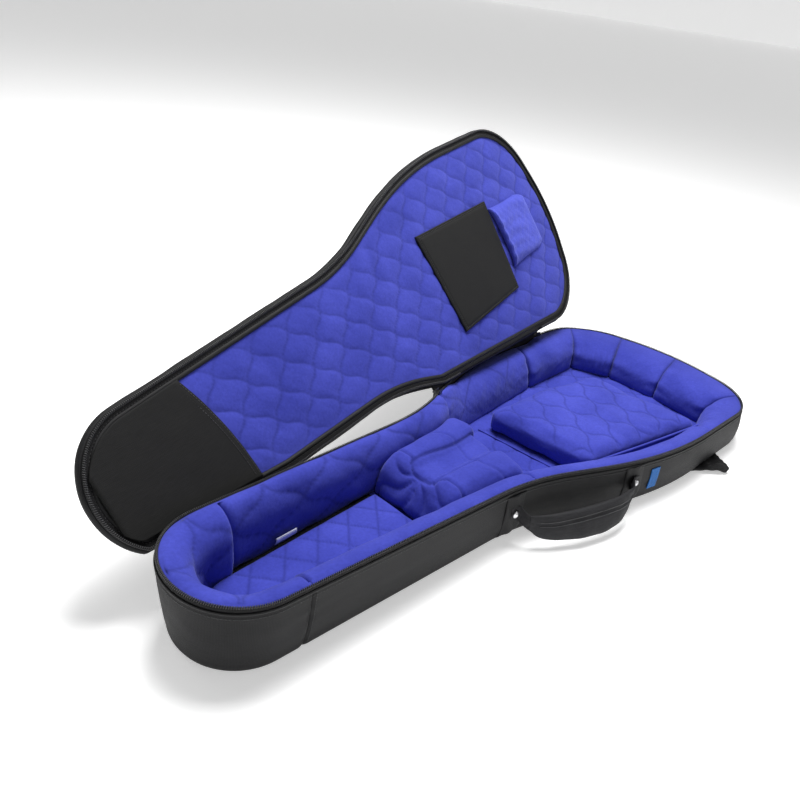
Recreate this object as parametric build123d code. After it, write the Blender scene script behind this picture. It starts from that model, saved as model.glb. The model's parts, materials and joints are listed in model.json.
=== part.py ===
"""Padded gig bag for an electric guitar: an open tray on its back, with the lid standing open on a fabric hinge.

Millimetres. +X runs from the head end to the body end, +Y towards the hinge side and +Z up.
The origin is under the middle of the tray, on its flat bottom.
Everything on the lid is modelled closed and then swung open about the hinge.
"""

from build123d import *
from math import cos, radians, sin, sqrt
import os

# Outline of the bag, seen from above, as corners of one half with a radius at each
BODY_END_X = 545.0
END_BOW = 50.0
BODY_HALF = 192.0
SHOULDER_X = 157.0
SHOULDER_HALF = 188.0
WAIST_X = -77.0
WAIST_HALF = 102.0
HEAD_CORNER_X = -533.0
HEAD_HALF = 80.0
HEAD_END_X = -545.0
TAIL_R = 300.0
END_R = 120.0
SHOULDER_R = 700.0
WAIST_R = 400.0
HEAD_R = 82.0
NOSE_R = 85.0

# Rim plane of the tray, which falls towards the body end
RIM_MID_Z = 83.5
RIM_SLOPE = 0.0376

# Tray shell
PANEL_T = 6.0
SHELL_T = 7.0
FLOOR_T = 4.0
TAPE_DROP = 8.0
HEAD_SEAM_X = -434.0
END_SEAM_X = 418.0

# Zipper: tape, coil and the slit left between the two closed halves
TAPE_T = 1.2
COIL_W = 2.4
COIL_H = 2.0
COIL_INSET = 0.8
SLIT = 2.4
LID_GAP = 1.0

# Hinge line, a straight level chord over the far side wall
HINGE_X0 = 60.0
HINGE_X1 = 330.0
HINGE_INSET = 10.0
HINGE_Z = RIM_MID_Z + 4.5
HINGE_EDGE = 0.8
HINGE_NOTCH = 7.0
HINGE_RUNOUT = 15.0
HINGE_TAPE_T = 1.6
LID_OPEN_DEG = 127.0

# Lid
LID_DEPTH = 29.0
LID_SKIN_T = 3.0
LID_WALL_T = 4.0
LINING_T = 4.0
RECESS = 7.0
TRIM_T = 1.5
BORDER_W = 14.0
HEAD_PANEL_NEAR_X = -389.0
HEAD_PANEL_MID_X = -364.0
HEAD_PANEL_FAR_X = -352.0
PATCH = [(112, -79), (341, -74), (320, 92), (124, 95)]
POUCH_X0 = 342.0
POUCH_X1 = 462.0
POUCH_HALF = 57.0
POUCH_R = 20.0
POUCH_DEEP = 12.0
POUCH_WALL = 3.0
POCKET_X0 = -250.0
POCKET_X1 = 440.0
POCKET_INSET = 32.0
POCKET_T = 5.0

# Wall pads
ROLL_DROP = 4.0
NEAR_ROLL_T = 30.0
FAR_PAD_T = 20.0
HEAD_PAD_T = 31.0
WAIST_SEAM_X = -75.0
PAD_LEAN = 40.0
WING_X = -12.0
WING_DEPTH = 27.0
FAR_SEAM_X = 262.0
FAR_CORNER_X = 405.0
FAR_DEPTH = 63.0
END_DEPTH = 108.0
END_SEAM_HALF = 62.0
CORNER_DEPTH = 121.0
CORNER_INSET = 62.0
NEAR_CORNER_X = 300.0

# A point far outside each seam between the leaning pads, which sets the seam's direction
PAD_OUTER = [(-12, 330), (335, 330), (620, 330), (800, 200), (800, 20), (800, -330), (300, -330)]
PAD_NAMES = ["waist_wing_pad", "far_side_pad", "far_corner_pad", "end_pad", "near_end_pad", "near_corner_roll"]

# Neck floor pad, cradle and body block
NECK_PAD_T = 12.0
NECK_PAD_X0 = -488.0
NECK_PAD_GAP = 6.0
PAD_CLEAR = 0.5
CRADLE_X0 = -198.0
CRADLE_X1 = -24.0
CRADLE_TOP_Z = 78.0
CRADLE_SLOPE = 22.0
CRADLE_SKEW = 36.0
GROOVE_R = 26.0
GROOVE_Y = 5.0
GROOVE_RISE = 6.0
BLOCK_TOP_Z = 48.0
BLOCK_CORNERS = [(78, 1, 77), (352, 1, 134), (364, -1, 42), (85, -1, 64)]
BLOCK_R = 16.0
BLOCK_EDGE_R = 9.0

# Handle, hung on two rivets through fabric tabs on the near side wall
RIVET_X0 = -109.0
RIVET_X1 = 96.0
RIVET_Z = 46.0
RIVET_R = 5.0
TAB_W = 34.0
TAB_Z0 = 8.0
TAB_T = 2.0
SWING_OUT = 14.0
STRAP_T = 2.4
STRAP_W = 18.0
GRIP_T = 14.0
GRIP_W = 50.0
GRIP_OUT = 40.0
GRIP_DROP = 13.0
GRIP_END = 30.0
GRIP_CORNER_R = 6.0
STRAP_BEND_R = 20.0
STUB_IN = 14.0
STUB_W = 6.0
RIVET_OUT = 4.0

# Small pieces on the tray
TAG_X = 140.0
TAG_W = 26.0
TAG_H = 36.0
TAG_T = 1.0
LABEL_X = -354.0
LABEL_W = 32.0
LABEL_H = 16.0
LABEL_T = 0.8
ANCHOR_X = 312.0
ANCHOR_W = 88.0
ANCHOR_OUT = 38.0
ANCHOR_T = 8.0

# Sliders and their pulls
SLIDER_L = 12.0
SLIDER_H = 9.0
SLIDER_T = 1.5
SLIDER_CLEAR = 1.2
WEB_T = 1.6
HEAD_SLIDER_X = -8.0
END_SLIDER_X = 352.0
EAR_T = 1.5
EAR_SPAN = 7.0
PIN_R = 0.9
PIN_CLEAR = 0.1
PIN_OUT = 4.4
PULL_W = 5.6
PULL_L = 26.0
PULL_T = 1.2

TALL = 400.0
WIDE = 1400.0
FLOOR_Z = PANEL_T + FLOOR_T


def rim_z(x):
    return RIM_MID_Z - RIM_SLOPE * x


def outline_corners():
    half = [
        (BODY_END_X - END_BOW, BODY_HALF),
        (SHOULDER_X, SHOULDER_HALF),
        (WAIST_X, WAIST_HALF),
        (HEAD_CORNER_X, HEAD_HALF),
    ]
    mirrored = [(x, -y) for x, y in reversed(half)]
    return [(BODY_END_X, 0)] + half + [(HEAD_END_X, 0)] + mirrored


def outline(inset):
    """Face of the bag's outline, moved inwards by inset."""
    half = [END_R, SHOULDER_R, WAIST_R, HEAD_R]
    radii = [TAIL_R] + half + [NOSE_R] + half[::-1]
    face = make_face(FilletPolyline(*outline_corners(), radius=radii, close=True))
    return offset(face, amount=-inset) if inset else face


def band(outer, inner):
    return outline(outer) - outline(inner)


def slab(low, high):
    """Everything between two planes parallel to the rim, at heights low and high above it."""
    x = WIDE / 2
    corners = [(-x, rim_z(-x) + low), (x, rim_z(x) + low), (x, rim_z(x) + high), (-x, rim_z(-x) + high)]
    side = make_face(Polyline(*corners, close=True))
    return extrude(Plane.XZ * side, amount=WIDE / 2, both=True)


def layer(face, low, high):
    """Straight prism of a plan face between two planes parallel to the rim."""
    return extrude(face, amount=TALL) & slab(low, high)


def column(face, low, high):
    """Straight prism of a plan face between two levels."""
    return Pos(0, 0, low) * extrude(face, amount=high - low)


def under_rim(face, low, drop):
    """Straight prism of a plan face from a level up to a plane just under the rim."""
    return column(face, low, TALL) & slab(-TALL, -drop)


def region(x0, x1, y0, y1):
    """Tall box used to keep the stretch of a ring that lies in it."""
    return Pos((x0 + x1) / 2, (y0 + y1) / 2, 0) * Box(x1 - x0, y1 - y0, 2 * TALL)


def half_width(x):
    """Half the bag's width at x, measured on the outline itself."""
    cut = outline(0) & make_face(Polyline((x, 0), (x + 0.01, 0), (x + 0.01, WIDE), (x, WIDE), close=True))
    return cut.bounding_box().max.Y


def from_side(x, side, depth):
    """Plan point at x, depth inwards from the far (1) or near (-1) side of the outline."""
    return (x, side * (half_width(x) - depth))


def hinge_axis():
    start = Vector(*from_side(HINGE_X0, 1, HINGE_INSET), HINGE_Z)
    end = Vector(*from_side(HINGE_X1, 1, HINGE_INSET), HINGE_Z)
    return Axis(start, end - start)


def hinge_stretch(margin):
    return region(HINGE_X0 - margin, HINGE_X1 + margin, 60, WIDE / 2)


def notched(shape):
    """Lower the top of a tray piece along the hinge, where the swinging lid needs room."""
    return shape - (hinge_stretch(HINGE_RUNOUT) & slab(-HINGE_NOTCH, TALL))


# ---------------------------------------------------------------- tray shell
def base_panel():
    return column(outline(0), 0, PANEL_T)


def gussets():
    wall = under_rim(band(0, SHELL_T), PANEL_T, TAPE_DROP)
    far = WIDE / 2
    return {
        "head_gusset": wall & region(-far, HEAD_SEAM_X, -far, far),
        "near_gusset": wall & region(HEAD_SEAM_X, END_SEAM_X, -far, 0),
        "far_gusset": wall & region(HEAD_SEAM_X, END_SEAM_X, 0, far),
        "end_gusset": wall & region(END_SEAM_X, far, -far, far),
    }


def floor_lining():
    return column(outline(SHELL_T), PANEL_T, FLOOR_Z)


def zipper_ring(inset, width, low, high):
    return layer(band(inset, inset + width), low, high)


def tray_zipper():
    tape_inset = COIL_INSET + (COIL_W - TAPE_T) / 2
    coil_top = LID_GAP / 2 - SLIT / 2
    coil_low = coil_top - COIL_H
    tape = zipper_ring(tape_inset, TAPE_T, -TAPE_DROP, coil_low)
    coil = zipper_ring(COIL_INSET, COIL_W, coil_low, coil_top)
    gap = hinge_stretch(HINGE_RUNOUT)
    return {"tray_zipper_tape": tape - gap, "tray_zipper_coil": coil - gap}


def hinge_tape():
    """Strip of fabric sewn along the top of the far wall, under the swinging edge of the lid."""
    strip = layer(band(0, SHELL_T), -TAPE_DROP, -TAPE_DROP + HINGE_TAPE_T)
    return strip & hinge_stretch(HINGE_RUNOUT)


# ---------------------------------------------------------------- wall pads
def roll(inner, drop=ROLL_DROP):
    return under_rim(band(SHELL_T, inner), FLOOR_Z, drop)


def head_bumper(clear=0.0):
    far = WIDE / 2
    return roll(SHELL_T + HEAD_PAD_T + clear) & region(-far, HEAD_SEAM_X + clear, -far, far)


def side_rolls():
    far = WIDE / 2
    near = roll(SHELL_T + NEAR_ROLL_T)
    return {
        "head_bumper": head_bumper(),
        "near_neck_roll": near & region(HEAD_SEAM_X, WAIST_SEAM_X, -far, 0),
        "near_body_roll": near & region(WAIST_SEAM_X, NEAR_CORNER_X, -far, 0),
        "far_neck_pad": roll(SHELL_T + FAR_PAD_T) & region(HEAD_SEAM_X, WING_X, 0, far),
    }


def pad_feet():
    """Foot of each seam between the leaning body pads, from the waist round to the near end corner."""
    return [
        from_side(WING_X, 1, WING_DEPTH),
        from_side(FAR_SEAM_X, 1, FAR_DEPTH),
        from_side(FAR_CORNER_X, 1, FAR_DEPTH),
        (BODY_END_X - END_DEPTH, END_SEAM_HALF),
        (BODY_END_X - END_DEPTH, -END_SEAM_HALF / 2),
        from_side(BODY_END_X - CORNER_DEPTH, -1, CORNER_INSET),
        from_side(NEAR_CORNER_X, -1, NEAR_ROLL_T),
    ]


def leaning_pad(i):
    """Wall pad whose inner face leans outwards as it rises, between two seams."""
    feet = pad_feet()
    ends = []
    for foot, outer in ((feet[i], PAD_OUTER[i]), (feet[i + 1], PAD_OUTER[i + 1])):
        away = Vector(*outer) - Vector(*foot)
        ends.append((Vector(*foot), Vector(*foot) + away.normalized() * PAD_LEAN, Vector(*outer)))
    (foot_a, top_a, out_a), (foot_b, top_b, out_b) = ends
    low = make_face(Polyline(foot_a, foot_b, out_b, out_a, close=True))
    high = make_face(Polyline(top_a, top_b, out_b, out_a, close=True))
    wedge = loft([Pos(0, 0, FLOOR_Z) * low, Pos(0, 0, rim_z(0)) * high], ruled=True)
    return wedge & under_rim(outline(SHELL_T), FLOOR_Z, ROLL_DROP)


# ---------------------------------------------------------------- inside pads
def neck_floor_pad():
    inner = outline(SHELL_T + FAR_PAD_T + NECK_PAD_GAP)
    near = outline(SHELL_T + NEAR_ROLL_T + PAD_CLEAR)
    pad = column(inner & near, FLOOR_Z, FLOOR_Z + NECK_PAD_T) - head_bumper(PAD_CLEAR)
    return pad & region(NECK_PAD_X0, CRADLE_X0 - PAD_CLEAR, -WIDE / 2, WIDE / 2)


def neck_cradle():
    """Saddle for the guitar's neck: sloped towards the head, with a groove along the bag."""
    top = CRADLE_TOP_Z
    side = [(CRADLE_X0, FLOOR_Z), (CRADLE_X0, FLOOR_Z + NECK_PAD_T), (CRADLE_X0 + CRADLE_SLOPE, top)]
    side += [(0, top), (0, FLOOR_Z)]
    body = extrude(Plane.XZ * make_face(Polyline(*side, close=True)), amount=WIDE / 2, both=True)
    plan = [(CRADLE_X0, -WIDE / 4), (CRADLE_X0, WIDE / 4)]
    skew = CRADLE_SKEW * (WIDE / 4) / (2 * WAIST_HALF)
    plan += [(CRADLE_X1 + skew, WIDE / 4), (CRADLE_X1 - skew, -WIDE / 4)]
    body &= column(make_face(Polyline(*plan, close=True)), FLOOR_Z, TALL)
    fit = outline(SHELL_T + NEAR_ROLL_T + PAD_CLEAR) + (
        outline(SHELL_T + FAR_PAD_T + 3 * PAD_CLEAR) & Pos(0, WIDE / 4) * Rectangle(WIDE, WIDE / 2)
    )
    body &= column(fit, FLOOR_Z, TALL) & region(CRADLE_X0, WING_X - PAD_CLEAR, -WIDE / 2, WIDE / 2)
    groove = Pos(0, GROOVE_Y, top + GROOVE_RISE) * Rot(0, 90, 0) * Cylinder(GROOVE_R, WIDE)
    return body - groove


def body_block():
    corners = [from_side(*corner) for corner in BLOCK_CORNERS]
    face = make_face(FilletPolyline(*corners, radius=BLOCK_R, close=True))
    block = column(face, FLOOR_Z, BLOCK_TOP_Z)
    return fillet(block.faces().sort_by(Axis.Z)[-1].edges(), BLOCK_EDGE_R)


# ---------------------------------------------------------------- lid
def lid_outline(inset):
    """Outline of the lid, cut straight along the hinge so that it can swing past the far wall."""
    axis = hinge_axis()
    foot = Vector(axis.position.X, axis.position.Y, 0)
    edge = Plane(origin=foot, x_dir=axis.direction, z_dir=(0, 0, 1))
    near_side = edge * Pos(0, HINGE_EDGE - inset - WIDE / 2) * Rectangle(2 * WIDE, WIDE)
    return outline(inset) & near_side


def lid_band(outer, inner):
    return lid_outline(outer) - lid_outline(inner)


def swung_open(shape):
    return shape.rotate(hinge_axis(), -LID_OPEN_DEG)


def lid_shell():
    lining_z = LID_GAP + RECESS
    skin_z = LID_DEPTH - LID_SKIN_T
    inside = lid_outline(LID_WALL_T)
    return {
        "lid_panel": layer(lid_outline(0), skin_z, LID_DEPTH),
        "lid_wall": layer(lid_band(0, LID_WALL_T), lining_z, skin_z),
        "lid_foam": layer(inside, lining_z + LINING_T, skin_z),
        "lid_lining": layer(inside, lining_z, lining_z + LINING_T),
    }


def lid_zipper():
    tape_inset = COIL_INSET + (COIL_W - TAPE_T) / 2
    coil_low = LID_GAP / 2 + SLIT / 2
    coil_top = coil_low + COIL_H
    coil = layer(band(COIL_INSET, COIL_INSET + COIL_W) & lid_outline(COIL_INSET), coil_low, coil_top)
    tape = layer(band(tape_inset, tape_inset + TAPE_T) & lid_outline(COIL_INSET), coil_top, LID_GAP + RECESS)
    gap = hinge_stretch(0)
    return {"lid_zipper_coil": coil - gap, "lid_zipper_tape": tape - gap}


def on_lining(face):
    """Flat trim on the lining's inner face."""
    top = LID_GAP + RECESS
    return layer(face, top - TRIM_T, top)


def head_panel_face():
    far = WIDE / 4
    edge = ThreePointArc(
        (HEAD_PANEL_NEAR_X, -HEAD_HALF), (HEAD_PANEL_MID_X, 0), (HEAD_PANEL_FAR_X, HEAD_HALF)
    )
    rest = Polyline((HEAD_PANEL_FAR_X, HEAD_HALF), (HEAD_PANEL_FAR_X, far), (-WIDE, far),
                    (-WIDE, -far), (HEAD_PANEL_NEAR_X, -far), (HEAD_PANEL_NEAR_X, -HEAD_HALF))
    return make_face([edge, rest]) & lid_outline(BORDER_W)


def lid_inside():
    return {
        "lid_binding": on_lining(lid_band(LID_WALL_T, BORDER_W)),
        "headstock_panel": on_lining(head_panel_face()),
        "bridge_patch": on_lining(make_face(Polyline(*PATCH, close=True))),
    }


def pouch():
    """Small padded pouch on the lining: a front and a U of sides, open towards the patch."""
    length = POUCH_X1 - POUCH_X0
    middle = (POUCH_X0 + POUCH_X1) / 2
    plan = Pos(middle, 0) * RectangleRounded(length, 2 * POUCH_HALF, POUCH_R)
    room_half = POUCH_HALF - POUCH_WALL
    room = Pos(middle - POUCH_WALL, 0) * RectangleRounded(length, 2 * room_half, POUCH_R - POUCH_WALL)
    top = LID_GAP + RECESS
    front = layer(plan, top - POUCH_DEEP, top - POUCH_DEEP + POUCH_WALL)
    sides = layer(plan - room, top - POUCH_DEEP + POUCH_WALL, top)
    return {"pouch_front": front, "pouch_sides": sides}


def lid_pocket():
    span = Pos((POCKET_X0 + POCKET_X1) / 2, 0) * Rectangle(POCKET_X1 - POCKET_X0, WIDE / 2)
    face = lid_outline(POCKET_INSET) & span
    zip_face = face - offset(face, amount=-COIL_W)
    return {
        "lid_pocket": layer(face, LID_DEPTH, LID_DEPTH + POCKET_T),
        "pocket_zipper": layer(zip_face, LID_DEPTH + POCKET_T, LID_DEPTH + POCKET_T + TAPE_T),
    }


# ---------------------------------------------------------------- handle
def handle_plane():
    """Plane at the first rivet: x along the wall to the second rivet, y outwards, z up."""
    start = Vector(RIVET_X0, -half_width(RIVET_X0), RIVET_Z)
    end = Vector(RIVET_X1, -half_width(RIVET_X1), RIVET_Z)
    return Plane(origin=start, x_dir=start - end, z_dir=(0, 0, 1)), (end - start).length


def wall_patch(x, width, low, high, thick):
    """Patch lying on the outside of the near wall, centred on x."""
    return column(offset(outline(0), amount=thick) - outline(0), low, high) & region(
        x - width / 2, x + width / 2, -WIDE / 2, 0
    )


def handle_fixings():
    """Fabric tabs on the wall, the webbing stubs that leave them, and the rivets through them."""
    plane, span = handle_plane()
    tab_top = rim_z(RIVET_X1) - TAPE_DROP
    tabs = wall_patch(RIVET_X0, TAB_W, TAB_Z0, tab_top, TAB_T)
    tabs += wall_patch(RIVET_X1, TAB_W, TAB_Z0, tab_top, TAB_T)
    reach = SWING_OUT - STRAP_W / 2 - PAD_CLEAR
    stubs, rivets = Part(), Part()
    for rivet_x, stub_x in ((0, -STUB_IN), (-span, STUB_IN - span)):
        stubs += plane * Pos(stub_x, reach / 2, 0) * Box(STUB_W, reach, STRAP_W)
        rivets += plane * Pos(rivet_x, RIVET_OUT / 2, 0) * Rot(90, 0, 0) * Cylinder(RIVET_R, RIVET_OUT)
    solid_wall = column(outline(0), 0, TALL) + tabs
    return {"handle_tabs": tabs, "handle_stubs": stubs - solid_wall, "handle_rivets": rivets - solid_wall}


def handle_frame():
    """Plane of the hanging handle: x along the wall, y from the swing axis to the grip, and its length."""
    plane, span = handle_plane()
    origin = plane.from_local_coords(Vector(-STUB_IN, SWING_OUT, 0))
    away = Vector(0, GRIP_OUT - SWING_OUT, -GRIP_DROP)
    across = Vector(0, GRIP_DROP, GRIP_OUT - SWING_OUT).normalized()
    x_dir = plane.x_dir
    up = plane.y_dir * across.Y + plane.z_dir * across.Z
    return Plane(origin=origin, x_dir=x_dir, z_dir=up), away.length, span - 2 * STUB_IN


def handle():
    frame, reach, length = handle_frame()
    ends = [(0, 0), (-GRIP_END, reach), (GRIP_END - length, reach), (-length, 0)]
    path = FilletPolyline(*ends, radius=STRAP_BEND_R)
    strap_face = make_face(offset(path, amount=STRAP_T / 2, kind=Kind.ARC))
    strap = frame * extrude(strap_face, amount=STRAP_W / 2, both=True)
    grip_face = Pos(-length / 2, reach) * RectangleRounded(length - 2 * GRIP_END, GRIP_T, GRIP_CORNER_R)
    slot = offset(path, amount=STRAP_T / 2 + PAD_CLEAR / 5, kind=Kind.ARC)
    grip = frame * extrude(grip_face, amount=GRIP_W / 2, both=True)
    grip -= frame * extrude(make_face(slot), amount=STRAP_W / 2 + PAD_CLEAR / 5, both=True)
    return {"handle_strap": strap, "handle_grip": grip}


# ---------------------------------------------------------------- small pieces on the tray
def side_tag():
    middle = rim_z(TAG_X) / 2
    tag = wall_patch(TAG_X, TAG_W, middle - TAG_H / 2, middle + TAG_H / 2, TAG_T)
    return {"side_tag": tag}


def care_label():
    inset = SHELL_T + FAR_PAD_T
    span = region(LABEL_X - LABEL_W / 2, LABEL_X + LABEL_W / 2, 0, WIDE / 2)
    return {"care_label": column(band(inset, inset + LABEL_T), FLOOR_Z, FLOOR_Z + LABEL_H + NECK_PAD_T) & span}


def harness_anchors():
    """Triangular fabric tabs at the foot of both side walls, where backpack straps are sewn on."""
    anchors = Part()
    for side in (-1, 1):
        corners = [
            from_side(ANCHOR_X - ANCHOR_W / 2, side, SHELL_T),
            from_side(ANCHOR_X + ANCHOR_W / 2, side, SHELL_T),
            from_side(ANCHOR_X + ANCHOR_W / 8, side, -ANCHOR_OUT),
        ]
        anchors += column(make_face(Polyline(*corners, close=True)) - outline(0), 0, ANCHOR_T)
    return {"harness_anchors": anchors}


# ---------------------------------------------------------------- sliders
def slider_plane(x):
    """Plane on the far rim at x: x along the rim towards the body end, y outwards, z up from the rim."""
    step = SLIDER_L
    ahead = Vector(x + step, half_width(x + step), rim_z(x + step))
    behind = Vector(x - step, half_width(x - step), rim_z(x - step))
    along = (ahead - behind).normalized()
    outwards = Vector(0, 0, 1).cross(along).normalized()
    return Plane(origin=(x, half_width(x), rim_z(x)), x_dir=along, z_dir=along.cross(outwards))


def slider(x, name):
    """Slider with two plates and a web in the slit, and a pull tab on a cross pin in two ears."""
    plane = slider_plane(x)
    outer_y = -COIL_INSET + SLIDER_CLEAR
    inner_y = -COIL_INSET - COIL_W - SLIDER_CLEAR
    web_z = LID_GAP / 2
    plate = Box(SLIDER_L, SLIDER_T, SLIDER_H)
    body = Pos(0, outer_y + SLIDER_T / 2, web_z) * plate
    body += Pos(0, inner_y - SLIDER_T / 2, web_z) * plate
    body += Pos(0, (outer_y + inner_y) / 2, web_z) * Box(SLIDER_L, outer_y - inner_y, WEB_T)
    ear_y = (outer_y + SLIDER_T / 2 + PIN_OUT + 2 * PIN_R) / 2
    ear = Box(EAR_T, PIN_OUT + 2 * PIN_R - outer_y - SLIDER_T / 2, 4 * PIN_R)
    for side in (-1, 1):
        body += Pos(side * (EAR_SPAN + EAR_T) / 2, ear_y, web_z) * ear
    pin_place = Pos(0, PIN_OUT, web_z)
    body -= pin_place * Rot(0, 90, 0) * Cylinder(PIN_R + PIN_CLEAR, 2 * SLIDER_L)
    pull = pin_place * Rot(0, 90, 0) * Cylinder(PIN_R, EAR_SPAN + 2 * EAR_T)
    pull += pin_place * Pos(0, 0, -PULL_L / 2) * Box(PULL_W, PULL_T, PULL_L)
    return {name + "_slider": plane * body, name + "_pull": plane * pull}


def tray():
    pieces = {"base_panel": base_panel(), "floor_lining": floor_lining()}
    pieces.update(gussets())
    pieces.update(side_rolls())
    for i, name in enumerate(PAD_NAMES):
        pieces[name] = leaning_pad(i)
    for name in ("far_gusset", "waist_wing_pad", "far_side_pad", "far_neck_pad"):
        pieces[name] = notched(pieces[name])
    pieces["neck_floor_pad"] = neck_floor_pad()
    pieces["neck_cradle"] = neck_cradle()
    pieces["body_block"] = body_block()
    pieces["hinge_tape"] = hinge_tape()
    for group in (tray_zipper(), handle_fixings(), side_tag(), care_label(), harness_anchors()):
        pieces.update(group)
    return pieces


def lid():
    pieces = {}
    for group in (lid_shell(), lid_zipper(), lid_inside(), pouch(), lid_pocket()):
        pieces.update(group)
    return {name: swung_open(shape) for name, shape in pieces.items()}


def build():
    pieces = tray()
    pieces.update(lid())
    pieces.update(handle())
    pieces.update(slider(HEAD_SLIDER_X, "head"))
    pieces.update(slider(END_SLIDER_X, "end"))
    return pieces


os.makedirs("parts", exist_ok=True)
for name, shape in build().items():
    export_step(shape, f"parts/{name}.step")
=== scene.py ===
"""Looks of the padded gig bag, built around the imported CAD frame.

Metres. +X runs from the head end to the body end, +Y towards the hinge side and +Z up.
Pieces of the lid are made closed, as it lies on the tray, and then swung open about the hinge.
"""

import json
import math

import bmesh
import bpy
import numpy as np
from mathutils import Matrix, Vector

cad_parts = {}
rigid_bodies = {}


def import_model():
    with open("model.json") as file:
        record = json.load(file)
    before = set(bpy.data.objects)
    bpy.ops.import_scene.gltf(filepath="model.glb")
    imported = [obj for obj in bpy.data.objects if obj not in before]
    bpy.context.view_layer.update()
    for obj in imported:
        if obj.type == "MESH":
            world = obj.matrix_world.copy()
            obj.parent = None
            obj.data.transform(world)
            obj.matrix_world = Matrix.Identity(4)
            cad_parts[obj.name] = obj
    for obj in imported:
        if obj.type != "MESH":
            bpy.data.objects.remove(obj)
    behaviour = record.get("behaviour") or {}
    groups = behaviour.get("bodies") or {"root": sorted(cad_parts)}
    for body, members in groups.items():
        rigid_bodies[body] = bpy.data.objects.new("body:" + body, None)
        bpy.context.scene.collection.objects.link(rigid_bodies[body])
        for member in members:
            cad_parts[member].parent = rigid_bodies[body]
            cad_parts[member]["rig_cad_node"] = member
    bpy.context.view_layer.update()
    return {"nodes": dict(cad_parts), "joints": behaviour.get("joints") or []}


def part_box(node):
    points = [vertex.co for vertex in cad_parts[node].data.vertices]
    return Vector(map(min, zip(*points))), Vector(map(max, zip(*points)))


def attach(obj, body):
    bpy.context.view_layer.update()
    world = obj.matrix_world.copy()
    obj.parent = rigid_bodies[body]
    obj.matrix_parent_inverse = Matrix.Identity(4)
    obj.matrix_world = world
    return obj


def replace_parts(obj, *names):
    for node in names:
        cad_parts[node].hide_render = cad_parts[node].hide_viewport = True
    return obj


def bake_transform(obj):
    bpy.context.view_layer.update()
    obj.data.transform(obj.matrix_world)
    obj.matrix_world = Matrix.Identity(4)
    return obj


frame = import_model()
MM = 0.001
TAU = 2 * math.pi

# Outline of the bag as corners of its far half: x, y and radius, in millimetres
CORNERS = [(545, 0, 300), (495, 192, 120), (157, 188, 700), (-77, 102, 400), (-533, 80, 82), (-545, 0, 85)]
RIM_MID, RIM_SLOPE = 83.5 * MM, 0.0376
HEAD_X, TAIL_X = -545 * MM, 545 * MM
HEAD_SEAM, END_SEAM = -434 * MM, 418 * MM
FLOOR = 10 * MM
HINGE = {j["name"]: j for j in frame["joints"]}["lid_hinge"]
OPEN_ANGLE = math.radians(127)
HINGE_X0, HINGE_X1, HINGE_EDGE = 60 * MM, 330 * MM, 0.8 * MM
LID_LINING, LID_SKIN = 8 * MM, 29 * MM

# Wall pads: depth from the outline, and the feet of the leaning ones
NEAR_DEPTH, FAR_DEPTH, BUMPER_DEPTH = 37 * MM, 27 * MM, 38 * MM
WAIST_SEAM, WING_X, NEAR_CORNER = -75 * MM, -12 * MM, 300 * MM
PAD_LEAN = 40 * MM


# ---------------------------------------------------------------- plan outline
def rim_z(x):
    return RIM_MID - RIM_SLOPE * x


def fillet(before, corner, after, radius, count=40):
    """Points of the arc that rounds a corner between two straight edges."""
    b, c, a = (np.array(p[:2], float) for p in (before, corner, after))
    u, v = (b - c) / np.linalg.norm(b - c), (a - c) / np.linalg.norm(a - c)
    half = math.acos(np.clip(u @ v, -1, 1)) / 2
    middle = (u + v) / np.linalg.norm(u + v)
    centre = c + middle * radius / math.sin(half)
    start, end = (c + w * radius / math.tan(half) - centre for w in (u, v))
    turn = math.atan2(start[0] * end[1] - start[1] * end[0], start @ end)
    angles = np.linspace(0, turn, count)
    first = math.atan2(start[1], start[0])
    return centre + radius * np.c_[np.cos(first + angles), np.sin(first + angles)]


def full_outline():
    corners = CORNERS + [(x, -y, r) for x, y, r in reversed(CORNERS[1:-1])]
    n = len(corners)
    arcs = [fillet(corners[i - 1], corners[i], corners[(i + 1) % n], corners[i][2]) for i in range(n)]
    points = np.concatenate(arcs) * MM
    return np.roll(points, -20, axis=0)


def resample(points, step, closed=True):
    ring = np.r_[points, points[:1]] if closed else points
    run = np.r_[0, np.cumsum(np.linalg.norm(np.diff(ring, axis=0), axis=1))]
    count = max(int(round(run[-1] / step)), 3)
    at = np.linspace(0, run[-1], count + 1)
    new = np.stack([np.interp(at, run, ring[:, k]) for k in range(ring.shape[1])], 1)
    return new[:-1] if closed else new


RING_STEP = 1 * MM


def make_ring(points):
    """Closed plan curve in even steps, with its outward directions."""
    ring = resample(points, RING_STEP)
    tangent = np.roll(ring, -4, 0) - np.roll(ring, 4, 0)
    tangent /= np.linalg.norm(tangent, axis=1)[:, None]
    return {"p": ring, "out": np.c_[tangent[:, 1], -tangent[:, 0]]}


def hinge_y(x):
    """Where the hinge line passes x in plan."""
    pos, axis = HINGE["pos_m"], HINGE["axis"]
    return pos[1] + (x - pos[0]) * axis[1] / axis[0]


def cut_at_hinge(points):
    """The lid's outline: nothing stands beyond the hinge line."""
    limit = hinge_y(points[:, 0]) + HINGE_EDGE
    return np.c_[points[:, 0], np.minimum(points[:, 1], limit)]


RING = make_ring(full_outline())
LID_RING = make_ring(cut_at_hinge(RING["p"]))


def sides(ring):
    """Functions for the far and near edge's y at x."""
    p = ring["p"]
    far, near = p[p[:, 1] >= 0], p[p[:, 1] <= 0]
    far, near = far[np.argsort(far[:, 0])], near[np.argsort(near[:, 0])]
    return lambda x: np.interp(x, far[:, 0], far[:, 1]), lambda x: np.interp(x, near[:, 0], near[:, 1])


FAR_Y, NEAR_Y = sides(RING)
LID_FAR_Y, LID_NEAR_Y = sides(LID_RING)


def place(ring, x, side):
    """Step on the ring where it passes x on the far (1) or near (-1) side."""
    score = np.abs(ring["p"][:, 0] - x) + np.where(ring["p"][:, 1] * side > 0, 0, 1)
    return int(np.argmin(score))


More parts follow.
